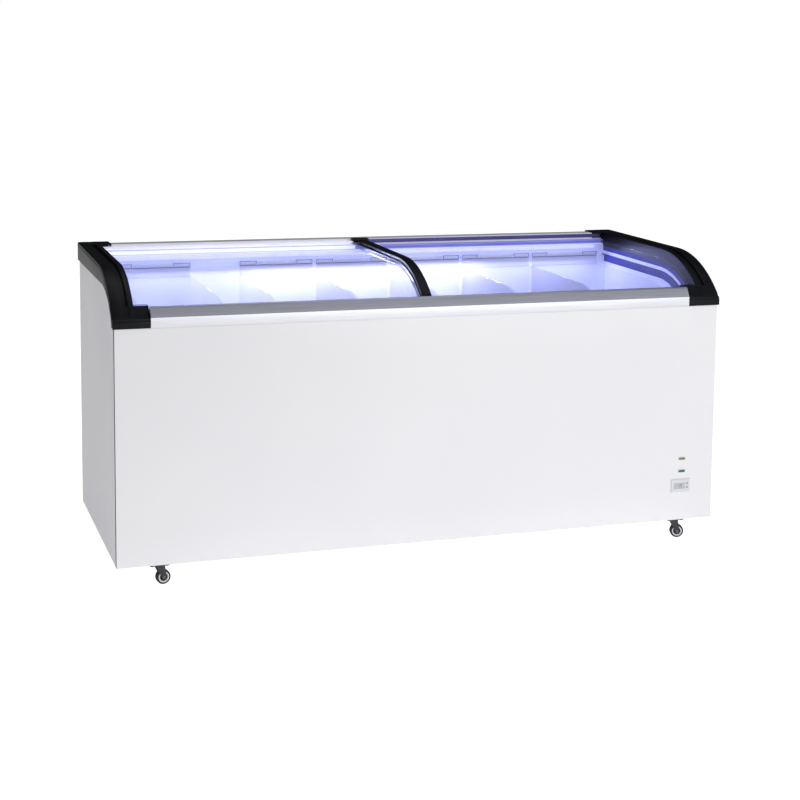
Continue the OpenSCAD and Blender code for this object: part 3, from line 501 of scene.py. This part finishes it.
new_piece("left_side_sheet", side_sheet(-1), side_coat_painted_shade, stands_for=["left_side_panel"])
right_sheet = side_sheet(1)
grille_low, grille_high = place("vent_grille")
punch(right_sheet, 0, grille_low.y + 14, grille_high.y - 14, grille_low.z + 8, grille_high.z - 8)
new_piece("right_side_sheet", right_sheet, side_coat_painted_shade, stands_for=["right_side_panel"])
back_low, back_high = place("back_panel")
back_sheet = bmesh.new()
block(back_sheet, back_low, back_high, 0.3, 1)
for z in (260, 470, 680):
    block(back_sheet, (back_low.x + 60, back_high.y - 0.6, z), (back_high.x - 60, back_high.y + 1.4, z + 26), 1.3)
new_piece("back_sheet", back_sheet, side_coat_painted_shade, stands_for=["back_panel"])

# %% [markdown]
# The end frames carry the lids and close the ends. One moulding runs from the back over the nose: an inner band,
# a dark groove that the gasket sat in, and an outer band with a generous round. The outer cheek below it is cut
# to a curve of its own, and a corner block caps the end of the front rail.

# %% End frames
liner_low, liner_high = place("inner_liner")
FRAME_IN, OUTER_BAND, GROOVE_W = liner_high.x, 33.0, 12.0
GROOVE = FACE_X - OUTER_BAND - GROOVE_W
BLOCK_Z, BLOCK_X = NOSE.z + 5, FACE_X - 102
CHEEK = Vector((0, FRONT_Y + 211, NOSE.z + 98.5 - 290))


def mirrored(points, side):
    return [(side * x, drop) for x, drop in points]


def cheek(side):
    shape = bmesh.new()
    x = side * FACE_X
    first, last = trace(shape, x, 1.0, BACK_Y, 81)
    lower = shape.verts.new((x, BACK_Y, TOP_Z - 55))
    hip = shape.verts.new((x, CHEEK.y, CHEEK.z + 290))
    shape.edges.new((first, lower))
    shape.edges.new((lower, hip))
    made = bmesh.ops.spin(shape, geom=[hip], cent=CHEEK, axis=(1, 0, 0), angle=radians(42), steps=12)
    toe = next(g for g in made["geom_last"] if isinstance(g, bmesh.types.BMVert))
    shape.edges.new((toe, last))
    face = bmesh.ops.contextual_create(shape, geom=list(shape.edges))["faces"][0]
    face, verts = pull(shape, face, (-side * 4.8, 0, 0))
    rim = [e for e in shape.edges if all(abs(v.co.x - x) < 0.01 for v in e.verts)]
    bmesh.ops.bevel(shape, geom=rim, offset=1.5, segments=3, profile=0.5, affect="EDGES", clamp_overlap=True,
                    material=-1)
    return shape


def merge(shape, other):
    mesh = bpy.data.meshes.new("part")
    other.to_mesh(mesh)
    other.free()
    shape.from_mesh(mesh)
    bpy.data.meshes.remove(mesh)


def end_frame(side):
    crest = FACE_X - OUTER_BAND
    section = [(FRAME_IN, 0), (GROOVE, 0), (GROOVE, 7), (crest, 7), (crest, 1), (FACE_X, 1), (FACE_X, 10),
               (FRAME_IN + 3, 10), (FRAME_IN + 3, 45), (FRAME_IN, 45)]
    shape = sweep(mirrored(section, side), BACK_Y, end=85, rounds={0: 4, 1: 1.5, 4: 1.5, 5: 6})
    merge(shape, cheek(side))
    cap = sweep(mirrored([(BLOCK_X, 1.2), (FACE_X, 1.2), (FACE_X, 21), (BLOCK_X, 21)], side), start=38, end=85,
                rounds={0: 3, 1: 4})
    trim_off(cap, (0, 0, BLOCK_Z + 52), (0, 0, 1))
    merge(shape, cap)
    x0, x1 = sorted((side * BLOCK_X, side * FACE_X))
    block(shape, (x0, FRONT_Y, BLOCK_Z - 4), (x1, PANEL_Y - 0.2, BLOCK_Z + 15), 1.4, 3)
    block(shape, (x0, FRONT_Y + 2, BLOCK_Z + 14), (x1, FRONT_Y + 20, BLOCK_Z + 22), 1.4, 3)
    x0, x1 = sorted((side * (BLOCK_X + 7), side * (FACE_X - 4)))
    rear = sweep(mirrored([(BLOCK_X + 7, 0.2), (FACE_X - 5, 0.2), (FACE_X - 5, 6), (BLOCK_X + 7, 6)], side), BACK_Y,
                 end=4, rounds={0: 1.5})
    trim_off(rear, (0, 298, 0), (0, -1, 0))
    merge(shape, rear)
    block(shape, (x0, BACK_Y - 4, TOP_Z - 53), (x1, BACK_Y, TOP_Z - 2), 1.2)
    return shape


for side, name in ((-1, "left"), (1, "right")):
    new_piece(f"{name}_frame_moulding", end_frame(side), black_abs, stands_for=[f"{name}_end_frame"],
              smooth=40)

# %% [markdown]
# Inside each frame a dark trim hangs beside the lids' ends; its blue-violet colour and faint glow are a painted
# reflection of the lamp-lit tub. It is one thin moulding with a step, so it is swept too, with a section like a letter
# Z.

# %% Inner trims
trim_low, trim_high = place("right_inner_trim")
TRIM_X = trim_low.x


def inner_trim(side):
    section = [(TRIM_X + 6, 45.4), (TRIM_X + 9, 45.4), (TRIM_X + 9, 74), (TRIM_X + 3, 74), (TRIM_X + 3, 94),
               (TRIM_X, 94), (TRIM_X, 71), (TRIM_X + 6, 71)]
    shape = sweep(mirrored(section, side), trim_high.y, end=52, rounds={6: 1.2, 7: 2, 5: 1})
    trim_off(shape, (0, trim_low.y, 0), (0, -1, 0))
    return shape


for side, name in ((-1, "left"), (1, "right")):
    new_piece(f"{name}_trim_moulding", inner_trim(side), trim_painted_reflection, stands_for=[f"{name}_inner_trim"])

# %% [markdown]
# The front rail is one extrusion: an upright face, a sloped face and a folded lip that the lids' track hides
# behind. It is split along the fold into two pieces that meet edge to edge, the sloped one in the darker copy of the
# finish that is painted shade. It gets its two anodised tones from a split along the fold, as two pieces that meet
# edge to edge.

# %% Front rail, in two tones
rail_low, rail_high = place("front_rail")
# The dark violet strips on the rear channel stop at this width too; they are painted shade in the groove.
LID_HALF = place("right_lid_glass")[1].x         # the lids and the track lining end here
MEETING_X = place("left_lid_glass")[1].x         # the upper lid's edge, in the middle


def extrusion(points, x0, x1, rounds=None):
    shape = bmesh.new()
    face = outline(shape, [(x0, y, z) for y, z in points])
    if rounds:
        face = round_corners(shape, rounds)
    pull(shape, face, (x1 - x0, 0, 0))
    return shape


y, z = rail_low.y, rail_low.z
upright = extrusion([(y, z), (y, z + 28), (y + 2.5, z + 28), (y + 2.5, z)], rail_low.x, rail_high.x, {0: 0.8, 1: 0.6})
new_piece("rail_upright", upright, rail_bright, stands_for=["front_rail"])
sloped = extrusion([(y + 0.2, z + 28), (y + 14.5, z + 54.5), (y + 18, z + 56), (y + 23, z + 56), (y + 23, z + 38),
                    (y + 20.5, z + 38), (y + 20.5, z + 53.5), (y + 17, z + 53.5), (y + 2.7, z + 28)],
                   rail_low.x, rail_high.x, {1: 4, 3: 1})
# The sloped face uses the darker copy of the finish, painted shade.
new_piece("rail_slope", sloped, rail_painted_shade)
new_piece("track", softened("front_track", 0.6), grey_pvc, stands_for=["front_track"])
new_piece("rear_channel", softened("rear_rail", 1.0, 3), white_pvc, stands_for=["rear_rail"])
channel_low = place("rear_rail")[0]
face_y = channel_low.y + 8
# These strips are painted shade: the dark empty upper groove above the lower lid, and the shadow line under the upper
# lid's runner.
painted_groove_shade = bmesh.new()
block(painted_groove_shade, (MEETING_X, face_y - 0.4, TOP_Z - 20), (LID_HALF, face_y + 0.4, TOP_Z - 8), 0.2, 1)
block(painted_groove_shade, (-LID_HALF, face_y - 0.4, TOP_Z - 26), (MEETING_X, face_y + 0.4, TOP_Z - 22.5), 0.2, 1)
# The reflector strip glows by itself, painted lamp light.
mirror = bmesh.new()
block(mirror, (-LID_HALF, face_y - 0.4, TOP_Z - 38), (LID_HALF, face_y + 0.4, TOP_Z - 26.5), 0.2, 1)
new_piece("lamp_reflector", mirror, reflector_painted_glow)
cap = bmesh.new()
block(cap, (-LID_HALF, channel_low.y - 12, TOP_Z - 41.2), (LID_HALF, face_y - 0.4, TOP_Z - 39.8), 0.3, 1)
new_piece("foam_cap", cap, pale_pvc_painted_glow)
new_piece("rear_channel_lining", painted_groove_shade, violet_lining)

# %% [markdown]
# The lamp strip is a half-round diffuser on a back plate. Its section is a box with two big rounds towards the
# tub, pulled along the whole back.

# %% Lamp strip
led_low, led_high = place("led_strip")
section = [(led_high.y, led_low.z), (led_high.y, led_high.z), (led_low.y, led_high.z), (led_low.y, led_low.z)]
new_piece("lamp_diffuser", extrusion(section, led_low.x, led_high.x, {2: 3, 3: 4}), led_diffuser,
          stands_for=["led_strip"])

# %% [markdown]
# The liner is a folded tub: floor, walls, a ledge in front and behind for the bins to hang from, and a step over
# the compressor. The inside surface is drawn as one outline, pulled along the tub, opened at the top, and only
# then given its sheet thickness outwards.

# %% Liner
LINER_X, FLOOR_Z = liner_high.x - 1, liner_low.z + 1
LINER_FRONT, LINER_BACK = liner_low.y + 1, liner_high.y - 1
LEDGE_W, LEDGE_FRONT, LEDGE_BACK, STEP_X, STEP_Z = 19, NOSE.z - 6, TOP_Z - 77, 489.0, 384.5
tub = bmesh.new()
first, last = trace(tub, -LINER_X, 60, LINER_BACK - 0.5, 46)
tub_y0, tub_y1 = LINER_FRONT + LEDGE_W, LINER_BACK - LEDGE_W
corner = [(LINER_FRONT, LEDGE_FRONT), (tub_y0, LEDGE_FRONT), (tub_y0, FLOOR_Z), (tub_y1, FLOOR_Z),
          (tub_y1, LEDGE_BACK), (LINER_BACK, LEDGE_BACK), (LINER_BACK, TOP_Z - 41.2)]
face = close_outline(tub, first, last, [(-LINER_X, y, z) for y, z in corner])
pull(tub, face, (2 * LINER_X, 0, 0))
bmesh.ops.recalc_face_normals(tub, faces=tub.faces)
lid_faces = [f for f in tub.faces if f.normal.z > 0.05
             or (f.normal.y < -0.5 and f.calc_center_median().z > LEDGE_FRONT + 1)]
bmesh.ops.delete(tub, geom=lid_faces, context="FACES")
creases = [e for e in tub.edges if len(e.link_faces) == 2 and (
    e.calc_face_angle(0) > 1 and max(v.co.z for v in e.verts) < LEDGE_BACK - 60
    or all(v.co.z < FLOOR_Z + 1 for v in e.verts))]
bmesh.ops.bevel(tub, geom=list(set(creases)), offset=16, segments=4, profile=0.5, affect="EDGES", clamp_overlap=True,
                material=-1)
thicken(tub, -1.0)
block(tub, (STEP_X, tub_y0 - 0.5, FLOOR_Z - 0.5), (LINER_X + 0.5, tub_y1 + 0.5, STEP_Z), 10, 4)
new_piece("liner_tub", tub, liner_painted_lamp_glow, stands_for=["inner_liner"])

# %% [markdown]
# Each lid is one bent sheet of tempered glass. The section is a thin rectangle with ground corners, and the same
# sweep as the frames gives the bend, so glass and frame can't drift apart. The lower lid's bare meeting edge is
# its own narrow piece, because looked at end on the glass turns teal.

# %% Lid glass
glass_low, glass_high = place("left_lid_glass")
LID_X0, LID_X1, LID_BACK = glass_low.x, glass_high.x, glass_high.y
UPPER, LOWER, GLASS_T, LID_END = 13.0, 27.0, 5.0, 44.0
bare_low, bare_high = place("right_lid_glass")
RIGHT_X0, RIGHT_X1 = bare_low.x, bare_high.x


def lid_strip(x0, x1, drop, thick, back=LID_BACK, end=LID_END, ground=0.8):
    section = [(x0, drop), (x1, drop), (x1, drop + thick), (x0, drop + thick)]
    return sweep(section, back, end=end, rounds={i: ground for i in range(4)} if ground else None)


new_piece("left_glass", lid_strip(LID_X0, LID_X1, UPPER, GLASS_T), lid_glass, "left_lid", ["left_lid_glass"])
new_piece("right_glass", lid_strip(RIGHT_X0 + 1.6, RIGHT_X1, LOWER, GLASS_T), lid_glass, "right_lid",
          ["right_lid_glass"])
new_piece("right_glass_edge", lid_strip(RIGHT_X0, RIGHT_X0 + 1.6, LOWER, GLASS_T, ground=0.5), glass_edge,
          "right_lid")

# %% [markdown]
# The upper lid's meeting edge is clipped into a black curved bar, a C in section with a soft nose that a hand
# pulls on. At its back end a slider block guides the lid in the rear rail.

# %% Edge bar and slider blocks
bar_low, bar_high = place("left_lid_bar")
x0, x1 = bar_low.x, bar_high.x
section = [(x0, 4), (x1, 4), (x1, 21), (x0, 21), (x0, 18.3), (x1 - 2.5, 18.3), (x1 - 2.5, 12.7), (x0, 12.7)]
bar = sweep(section, bar_high.y, end=LID_END, rounds={0: 3, 1: 5, 2: 5, 3: 1})
new_piece("lid_bar", bar, black_abs, "left_lid", ["left_lid_bar"], smooth=40)

blocks_low, blocks_high = place("left_lid_blocks")
slider = softened("left_lid_blocks", 2.0, 3)
for x in (blocks_low.x + 10, blocks_high.x - 10):
    made = bmesh.ops.create_cone(slider, cap_ends=True, segments=24, radius1=3.4, radius2=2.6, depth=1.2,
                                 matrix=Matrix.Translation((x, (bar_high.y + blocks_high.y) / 2 + 4, blocks_high.z - 0.6)))
new_piece("lid_slider", slider, black_abs, "left_lid", ["left_lid_blocks"])
# The runners' lavender and violet tints and their glow are painted lamp light.
new_piece("left_runner_strips", softened("left_lid_runners", 1.2, 3), pale_pvc_painted_glow, "left_lid", ["left_lid_runners"])
new_piece("right_runner_strips", softened("right_lid_runners", 1.2, 3), pvc_painted_violet_glow, "right_lid",
          ["right_lid_runners"])

# %% [markdown]
# A bin is a vacuum-formed tray of clear plastic with soft corners. Its side is an outline that follows the lids,
# pulled to the bin's width, rounded at the corners, opened on top and given a wall. The rims, the hooks that
# hang on the ledges and the ear tabs are separate, because they are thicker and catch the light.

# %% Clear bins
def bin_tray(low, high):
    shape = bmesh.new()
    y0, y1 = low.y + 16, high.y - 19
    first, last = trace(shape, low.x, 101, y1, 46)
    corners = [(low.x, y0, last.co.z - 4), (low.x, y0, low.z), (low.x, y1, low.z)]
    face = close_outline(shape, first, last, corners)
    pull(shape, face, (high.x - low.x, 0, 0))
    bmesh.ops.recalc_face_normals(shape, faces=shape.faces)
    upright_edges = [e for e in shape.edges if abs(e.verts[0].co.z - e.verts[1].co.z) > 150]
    bottom_edges = [e for e in shape.edges if all(v.co.z < low.z + 0.1 for v in e.verts)]
    open_top = [f for f in shape.faces if f.normal.z > 0.3]
    bmesh.ops.delete(shape, geom=open_top, context="FACES")
    bmesh.ops.bevel(shape, geom=upright_edges + bottom_edges, offset=12, segments=3, profile=0.5, affect="EDGES",
                    clamp_overlap=True, material=-1)
    thicken(shape, -3.0)
    return shape


for number in range(1, 7):
    low, high = place(f"bin_{number}")
    body = f"hanging_bin_{number}"
    new_piece(f"bin_{number}_tray", bin_tray(low, high), bin_wall, body, [f"bin_{number}"])
    y0, y1, flange = low.y + 16, high.y - 19, LEDGE_BACK + 0.4
    rim = bmesh.new()
    block(rim, (low.x, y1 - 3, flange - 30), (high.x, y1, flange + 3), 1.2)
    block(rim, (low.x, y1 - 3, flange), (high.x, high.y, flange + 3), 1.2)
    block(rim, (low.x, low.y, LEDGE_FRONT + 0.4), (high.x, y0 + 3, LEDGE_FRONT + 3.4), 1.2)
    block(rim, (low.x, y0, LEDGE_FRONT - 30), (high.x, y0 + 3, LEDGE_FRONT + 3), 1.2)
    new_piece(f"bin_{number}_hooks", rim, bin_wall, body)
    ears = bmesh.new()
    for x0, x1 in ((low.x, low.x + 55), (high.x - 55, high.x)):
        for a, b in (((x0, high.z - 2.4), (x1, high.z)), ((x0, flange + 3), (x0 + 2.4, high.z - 1)),
                     ((x1 - 2.4, flange + 3), (x1, high.z - 1))):
            block(ears, (a[0], y1 - 3, a[1]), (b[0], y1, b[1]), 0.8)
    block(ears, (low.x, y1 - 3.2, flange - 1), (high.x, y1 - 0.5, flange + 1.6), 0.6)
    new_piece(f"bin_{number}_ears", ears, bin_rim_painted_light, body)
    label = bmesh.new()
    block(label, (low.x + 58, y1 - 3, flange + 2), (high.x - 58, y1 - 0.6, high.z - 3), 1.1)
    for x0, x1 in ((low.x + 3, low.x + 52), (high.x - 52, high.x - 3)):
        block(label, (x0, y1 - 2, flange + 2), (x1, y1 - 0.8, high.z - 3), 0.4)
    new_piece(f"bin_{number}_label_rail", label, bin_label, body)

# %% [markdown]
# Two lamps and a small controller sit low on the front. A lamp is a tinted lens in a pale surround; the
# controller has a smoked window with plain seven-segment digits, and two rubber keys that move on their own.

# %% Lamps
def lamp(node, material):
    low, high = place(node)
    shape = bmesh.new()
    block(shape, (low.x + 1.6, low.y, low.z + 1.6), (high.x - 1.6, PANEL_Y + 8, high.z - 1.6), 0.7, 3)
    for x in (low.x + 6, (low.x + high.x) / 2, high.x - 6):
        block(shape, (x - 0.4, low.y, low.z + 2.2), (x + 0.4, low.y + 0.6, high.z - 2.2), 0.1, 1)
    new_piece(f"{node}_lens", shape, material, stands_for=[node])
    surround = bmesh.new()
    face = outline(surround, [(low.x, PANEL_Y - 1.4, low.z), (high.x, PANEL_Y - 1.4, low.z),
                              (high.x, PANEL_Y - 1.4, high.z), (low.x, PANEL_Y - 1.4, high.z)])
    surround.normal_update()
    bmesh.ops.inset_region(surround, faces=[face], thickness=1.5, use_boundary=True)
    bmesh.ops.delete(surround, geom=[face], context="FACES_ONLY")
    made = bmesh.ops.extrude_face_region(surround, geom=list(surround.faces))["geom"]
    bmesh.ops.translate(surround, vec=(0, 1.2, 0), verts=[g for g in made if isinstance(g, bmesh.types.BMVert)])
    new_piece(f"{node}_surround", surround, pale_abs)


lamp("green_lamp", green_lens)
lamp("amber_lamp", amber_lens)

# %% Controller
window_low, window_high = place("controller_display")
case = softened("controller_bezel", 0.8, 2)
new_piece("controller_case", case, pale_abs, stands_for=["controller_bezel"])
window = bmesh.new()
block(window, window_low, window_high, 0.5)
new_piece("controller_window", window, display_glass, stands_for=["controller_display"])

SEGMENTS = {"1": "bc", "8": "abcdefg", "-": "g"}
BARS = {"a": (0, 1, 1), "b": (1, 0.5, 0), "c": (1, -0.5, 0), "d": (0, -1, 1), "e": (-1, -0.5, 0),
        "f": (-1, 0.5, 0), "g": (0, 0, 1)}


def digit(shape, x, z, size, character):
    for bar in SEGMENTS[character]:
        across, up, flat = BARS[bar]
        cx, cz = x + across * size * 0.5, z + up * size
        w, h = (size * 0.42, 0.35) if flat else (0.35, size * 0.42)
        block(shape, (cx - w, window_low.y - 0.25, cz - h), (cx + w, window_low.y + 0.2, cz + h), 0.1, 1)


digits = bmesh.new()
middle = (window_low + window_high) / 2
for x, character in ((middle.x - 8, "-"), (middle.x - 1, "1"), (middle.x + 6, "8")):
    digit(digits, x, middle.z, 4.2, character)
new_piece("display_digits", digits, digit_ink)

# %% Keys
for node, body in (("up_button", "up_key"), ("down_button", "down_key")):
    low, high = place(node)
    key = bmesh.new()
    centre = (low + high) / 2
    turned = Matrix.Translation(centre) @ Matrix.Rotation(pi / 2, 4, "X")
    made = bmesh.ops.create_cone(key, cap_ends=True, segments=40, radius1=(high.x - low.x) / 2,
                                 radius2=(high.x - low.x) / 2, depth=high.y - low.y, matrix=turned)["verts"]
    front = [e for e in key.edges if all(v.co.y < low.y + 0.01 for v in e.verts)]
    bmesh.ops.bevel(key, geom=front, offset=0.8, segments=4, profile=0.5, affect="EDGES", material=-1)
    new_piece(f"{body}_cap", key, key_rubber, body, [node])

# %% [markdown]
# Air for the condenser goes through a grille on the right side: a moulded frame, one mullion, and sloped blades
# that keep splashes out. One blade is made and repeated down each half.

# %% Grille
grille = bmesh.new()
low, high = grille_low, grille_high
for y0, y1, z0, z1 in ((low.y, high.y, low.z, low.z + 16), (low.y, high.y, high.z - 16, high.z),
                       (low.y, low.y + 22, low.z + 12, high.z - 12), (high.y - 22, high.y, low.z + 12, high.z - 12),
                       ((low.y + high.y) / 2 - 5, (low.y + high.y) / 2 + 5, low.z + 12, high.z - 12)):
    block(grille, (low.x, y0, z0), (high.x, y1, z1), 0.9)
rows = 16
for row in range(rows):
    z = low.z + 20 + row * (high.z - low.z - 38) / (rows - 1)
    for y0, y1 in ((low.y + 20, (low.y + high.y) / 2 - 3), ((low.y + high.y) / 2 + 3, high.y - 20)):
        first = len(grille.verts)
        block(grille, (low.x + 0.2, y0, z - 3.6), (low.x + 1.2, y1, z + 3.6), 0.35, 1)
        grille.verts.ensure_lookup_table()
        blade = grille.verts[first:]
        bmesh.ops.rotate(grille, cent=(low.x + 0.7, 0, z), matrix=Matrix.Rotation(radians(-18), 3, "Y"), verts=blade)
new_piece("grille_moulding", grille, white_pp, stands_for=["vent_grille"])

# %% [markdown]
# A caster is a top plate with its kingpin, a fork that swivels, and a hub and a tyre that roll. The hub shows a
# pale rim round its recessed web; the web is drawn dark, painted shade for the recess, and a rivet head closes each
# end of the axle. Tyre, hub and rivets are turned shapes, so a half section is spun once round the axle. The wheel
# sits out behind the swivel, which makes it trail.

# %% Casters
def lathe(shape, section, centre, axis, steps=64):
    across = Vector((0, 0, 1))
    verts = [shape.verts.new(centre + axis * along + across * radius) for radius, along in section]
    edges = [shape.edges.new((verts[i], verts[(i + 1) % len(verts)])) for i in range(len(verts))]
    bmesh.ops.spin(shape, geom=verts + edges, cent=centre, axis=axis, angle=2 * pi, steps=steps, use_merge=True)


RUBBER_DEPTH = 5                                 # tyre outside the hub, in mm
AXLE_TURN = {"front_left": 8, "front_right": -18, "back_left": -75, "back_right": -75}      # degrees from Y
for corner, turn in AXLE_TURN.items():
    turn = radians(turn)
    axle = Vector((-sin(turn), cos(turn), 0))
    low, high = place(f"{corner}_tyre")
    centre, radius = (low + high) / 2, (high.z - low.z) / 2
    hub_r = radius - RUBBER_DEPTH
    tyre = bmesh.new()
    lathe(tyre, [(hub_r + 0.1, -9), (radius - 4, -10), (radius - 2.4, -10), (radius - 0.8, -8.8), (radius, -6.5),
                 (radius, 6.5), (radius - 0.8, 8.8), (radius - 2.4, 10), (radius - 4, 10), (hub_r + 0.1, 9)],
          centre, axle)
    new_piece(f"{corner}_tyre_ring", tyre, rubber, f"{corner}_wheel", [f"{corner}_tyre"], smooth=50)
    rim = bmesh.new()
    lathe(rim, [(hub_r - 4, -8.6), (hub_r - 3, -9.8), (hub_r - 0.8, -9.8), (hub_r, -9), (hub_r, 9),
                (hub_r - 0.8, 9.8), (hub_r - 3, 9.8), (hub_r - 4, 8.6)], centre, axle, 48)
    new_piece(f"{corner}_hub_rim", rim, hub_plastic, f"{corner}_wheel", [f"{corner}_hub"])
    web = bmesh.new()
    lathe(web, [(3.1, -9.8), (4.6, -9.8), (5, -9.4), (5.4, -5), (hub_r - 3.9, -5), (hub_r - 3.9, 5), (5.4, 5),
                (5, 9.4), (4.6, 9.8), (3.1, 9.8)], centre, axle, 48)
    # The dark web is painted shade.
    new_piece(f"{corner}_hub_web_painted_shade", web, hub_web_painted_shade, f"{corner}_wheel")
    new_piece(f"{corner}_fork_pressing", softened(f"{corner}_fork", 0.6, 2), black_steel, f"{corner}_swivel",
              [f"{corner}_fork"])
    rivets = bmesh.new()
    for side in (-1, 1):
        lathe(rivets, [(0, 14.2 * side), (3.4, 14.2 * side), (3.4, 15.2 * side), (2.6, 15.9 * side), (0, 15.9 * side)],
              centre, axle, 32)
    new_piece(f"{corner}_axle_rivets", rivets, hub_plastic, f"{corner}_swivel")
new_piece("caster_top_plates", softened("caster_plates", 0.6, 2), black_steel, stands_for=["caster_plates"])

# %% [markdown]
# The machinery behind the grille, the pipes, the base pan, the drain and the cord gland keep their CAD shapes.
# Those that can be seen from a side or from below get a copy with broken edges; the rest only get their finish.

# %% Machinery and the underside
for node, material, slot, edge in (("compressor", black_enamel, "black_iron", 1.5),
                                   ("fan_motor", black_nylon, "black_plastic", 0.6),
                                   ("cord_gland", black_nylon, "black_plastic", 0.8),
                                   ("drain_spigot", white_pp, "white_plastic", 0.6)):
    new_piece(f"{node}_finished", softened(node, edge, 2), material, stands_for=[node])

for node, material in (("base_pan", galvanised), ("foam_insulation", foam), ("evaporator_coil", copper),
                       ("condenser", fin_stock), ("fan_blades", black_nylon), ("refrigerant_pipes", copper),
                       ("grille_screws", screw_steel)):
    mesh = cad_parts[node].data
    mesh.materials.clear()
    mesh.materials.append(material)
print("CAD nodes kept:", sum(1 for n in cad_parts.values() if not n.hide_render))

# %% [markdown]
# The stage is a wide pale floor and a soft white room. The floor glows a little by itself, so that it stays as
# pale as the background and keeps only a soft contact shadow. The room lights the scene less brightly than the
# camera sees it, which keeps the side of the casing a shade darker than its front.

# %% Floor and room
floor_shape = bmesh.new()
bmesh.ops.create_grid(floor_shape, x_segments=1, y_segments=1, size=60)
floor_mesh = bpy.data.meshes.new("floor")
floor_shape.to_mesh(floor_mesh)
floor_shape.free()
floor = bpy.data.objects.new("floor", floor_mesh)
bpy.context.scene.collection.objects.link(floor)
floor_paint, floor_shader = finish("matt pale floor", "#FFFFFF", 0.9, Emission_Color=paint("#FFFFFF"))
glow = add(floor_paint, "ShaderNodeLightPath").outputs["Is Camera Ray"]
glow = add(floor_paint, "ShaderNodeMapRange", {"Value": glow, "To Min": 0.58, "To Max": 0.92}).outputs["Result"]
floor_paint.node_tree.links.new(glow, floor_shader.inputs["Emission Strength"])
floor_mesh.materials.append(floor_paint)

TO_FRONT = (0.42, -0.91, 0.0)                    # the bright end of the room
room = bpy.data.worlds.new("soft white room")
room.use_nodes = True
room.node_tree.nodes.clear()
ray = add(room, "ShaderNodeLightPath").outputs["Is Camera Ray"]
way = add(room, "ShaderNodeTexCoord").outputs["Generated"]
front = add(room, "ShaderNodeVectorMath", {0: way, 1: TO_FRONT}, operation="DOT_PRODUCT").outputs["Value"]
walls = add(room, "ShaderNodeMapRange", {"Value": front, "From Min": -0.1, "From Max": 0.9, "To Min": 0.03,
                                         "To Max": 0.6}).outputs["Result"]
seen = add(room, "ShaderNodeMix", {0: ray, 2: walls, 3: 1.0}, data_type="FLOAT").outputs[0]
sky = add(room, "ShaderNodeBackground", {"Color": paint("#FFFFFF"), "Strength": seen})
add(room, "ShaderNodeOutputWorld", {"Surface": sky.outputs["Background"]})
bpy.context.scene.world = room

# %% [markdown]
# Four soft lights: a broad one in front and to the right for the white front, a high one that draws the
# highlights on the black mouldings, a thin violet-white one under the rear rail that is the lamp strip's light in
# the tub, and a shorter, whiter one beside it that fills the middle of the tub.

# %% Lights
def soft_light(name, spot, target, width, height, power, colour="#FFFFFF"):
    data = bpy.data.lights.new(name, "AREA")
    data.shape, data.size, data.size_y = "RECTANGLE", width, height
    data.energy, data.color = power, paint(colour)[:3]
    light = bpy.data.objects.new(name, data)
    light.location = spot
    light.rotation_euler = (Vector(target) - Vector(spot)).to_track_quat("-Z", "Y").to_euler()
    bpy.context.scene.collection.objects.link(light)
    return light


soft_light("front softbox", (1.6, -4.5, 1.9), (0.2, 0, 0.4), 3.0, 2.4, 55)
soft_light("top softbox", (0.3, 0.4, 3.6), (0, 0, 0.6), 3.4, 1.6, 18)
strip_y, strip_z = led_low.y / 1000 - 0.004, (led_low.z + led_high.z) / 2000
soft_light("tub lamp", (0, strip_y - 0.03, strip_z - 0.01), (0, strip_y - 0.35, strip_z - 0.3),
           1.55, 0.02, 5.4, "#B6BAFF")
soft_light("tub fill", (0, strip_y - 0.05, strip_z - 0.01), (0, strip_y - 0.2, strip_z - 0.3),
           0.8, 0.03, 1.6, "#F4F4FF")

# %% [markdown]
# The camera stands to the left of the cabinet's middle, a little above the lids, with a long lens; the lens is
# shifted down so that the uprights stay nearly parallel.

# %% Camera
FOCAL, MIDDLE_X, MIDDLE_Y, PICTURE = 1505.0, 355.0, 250.0, 800
PITCH, YAW, ROLL = 0.1048, 0.3046, 0.0061
camera_data = bpy.data.cameras.new("camera")
camera_data.sensor_width = 36.0
camera_data.lens = FOCAL / PICTURE * 36.0
camera_data.shift_x = (PICTURE / 2 - MIDDLE_X) / PICTURE
camera_data.shift_y = (MIDDLE_Y - PICTURE / 2) / PICTURE
camera = bpy.data.objects.new("camera", camera_data)
camera.location = (-1.4711, -4.2834, 1.3340)
ahead = Vector((sin(YAW) * cos(PITCH), cos(YAW) * cos(PITCH), -sin(PITCH)))
across = Vector((cos(YAW), -sin(YAW), 0))
up = across.cross(ahead)
level = Matrix((across * cos(ROLL) + up * sin(ROLL), up * cos(ROLL) - across * sin(ROLL), -ahead)).transposed()
camera.rotation_euler = level.to_euler()
bpy.context.scene.collection.objects.link(camera)
bpy.context.scene.camera = camera
bpy.context.scene.view_settings.view_transform = "Standard"
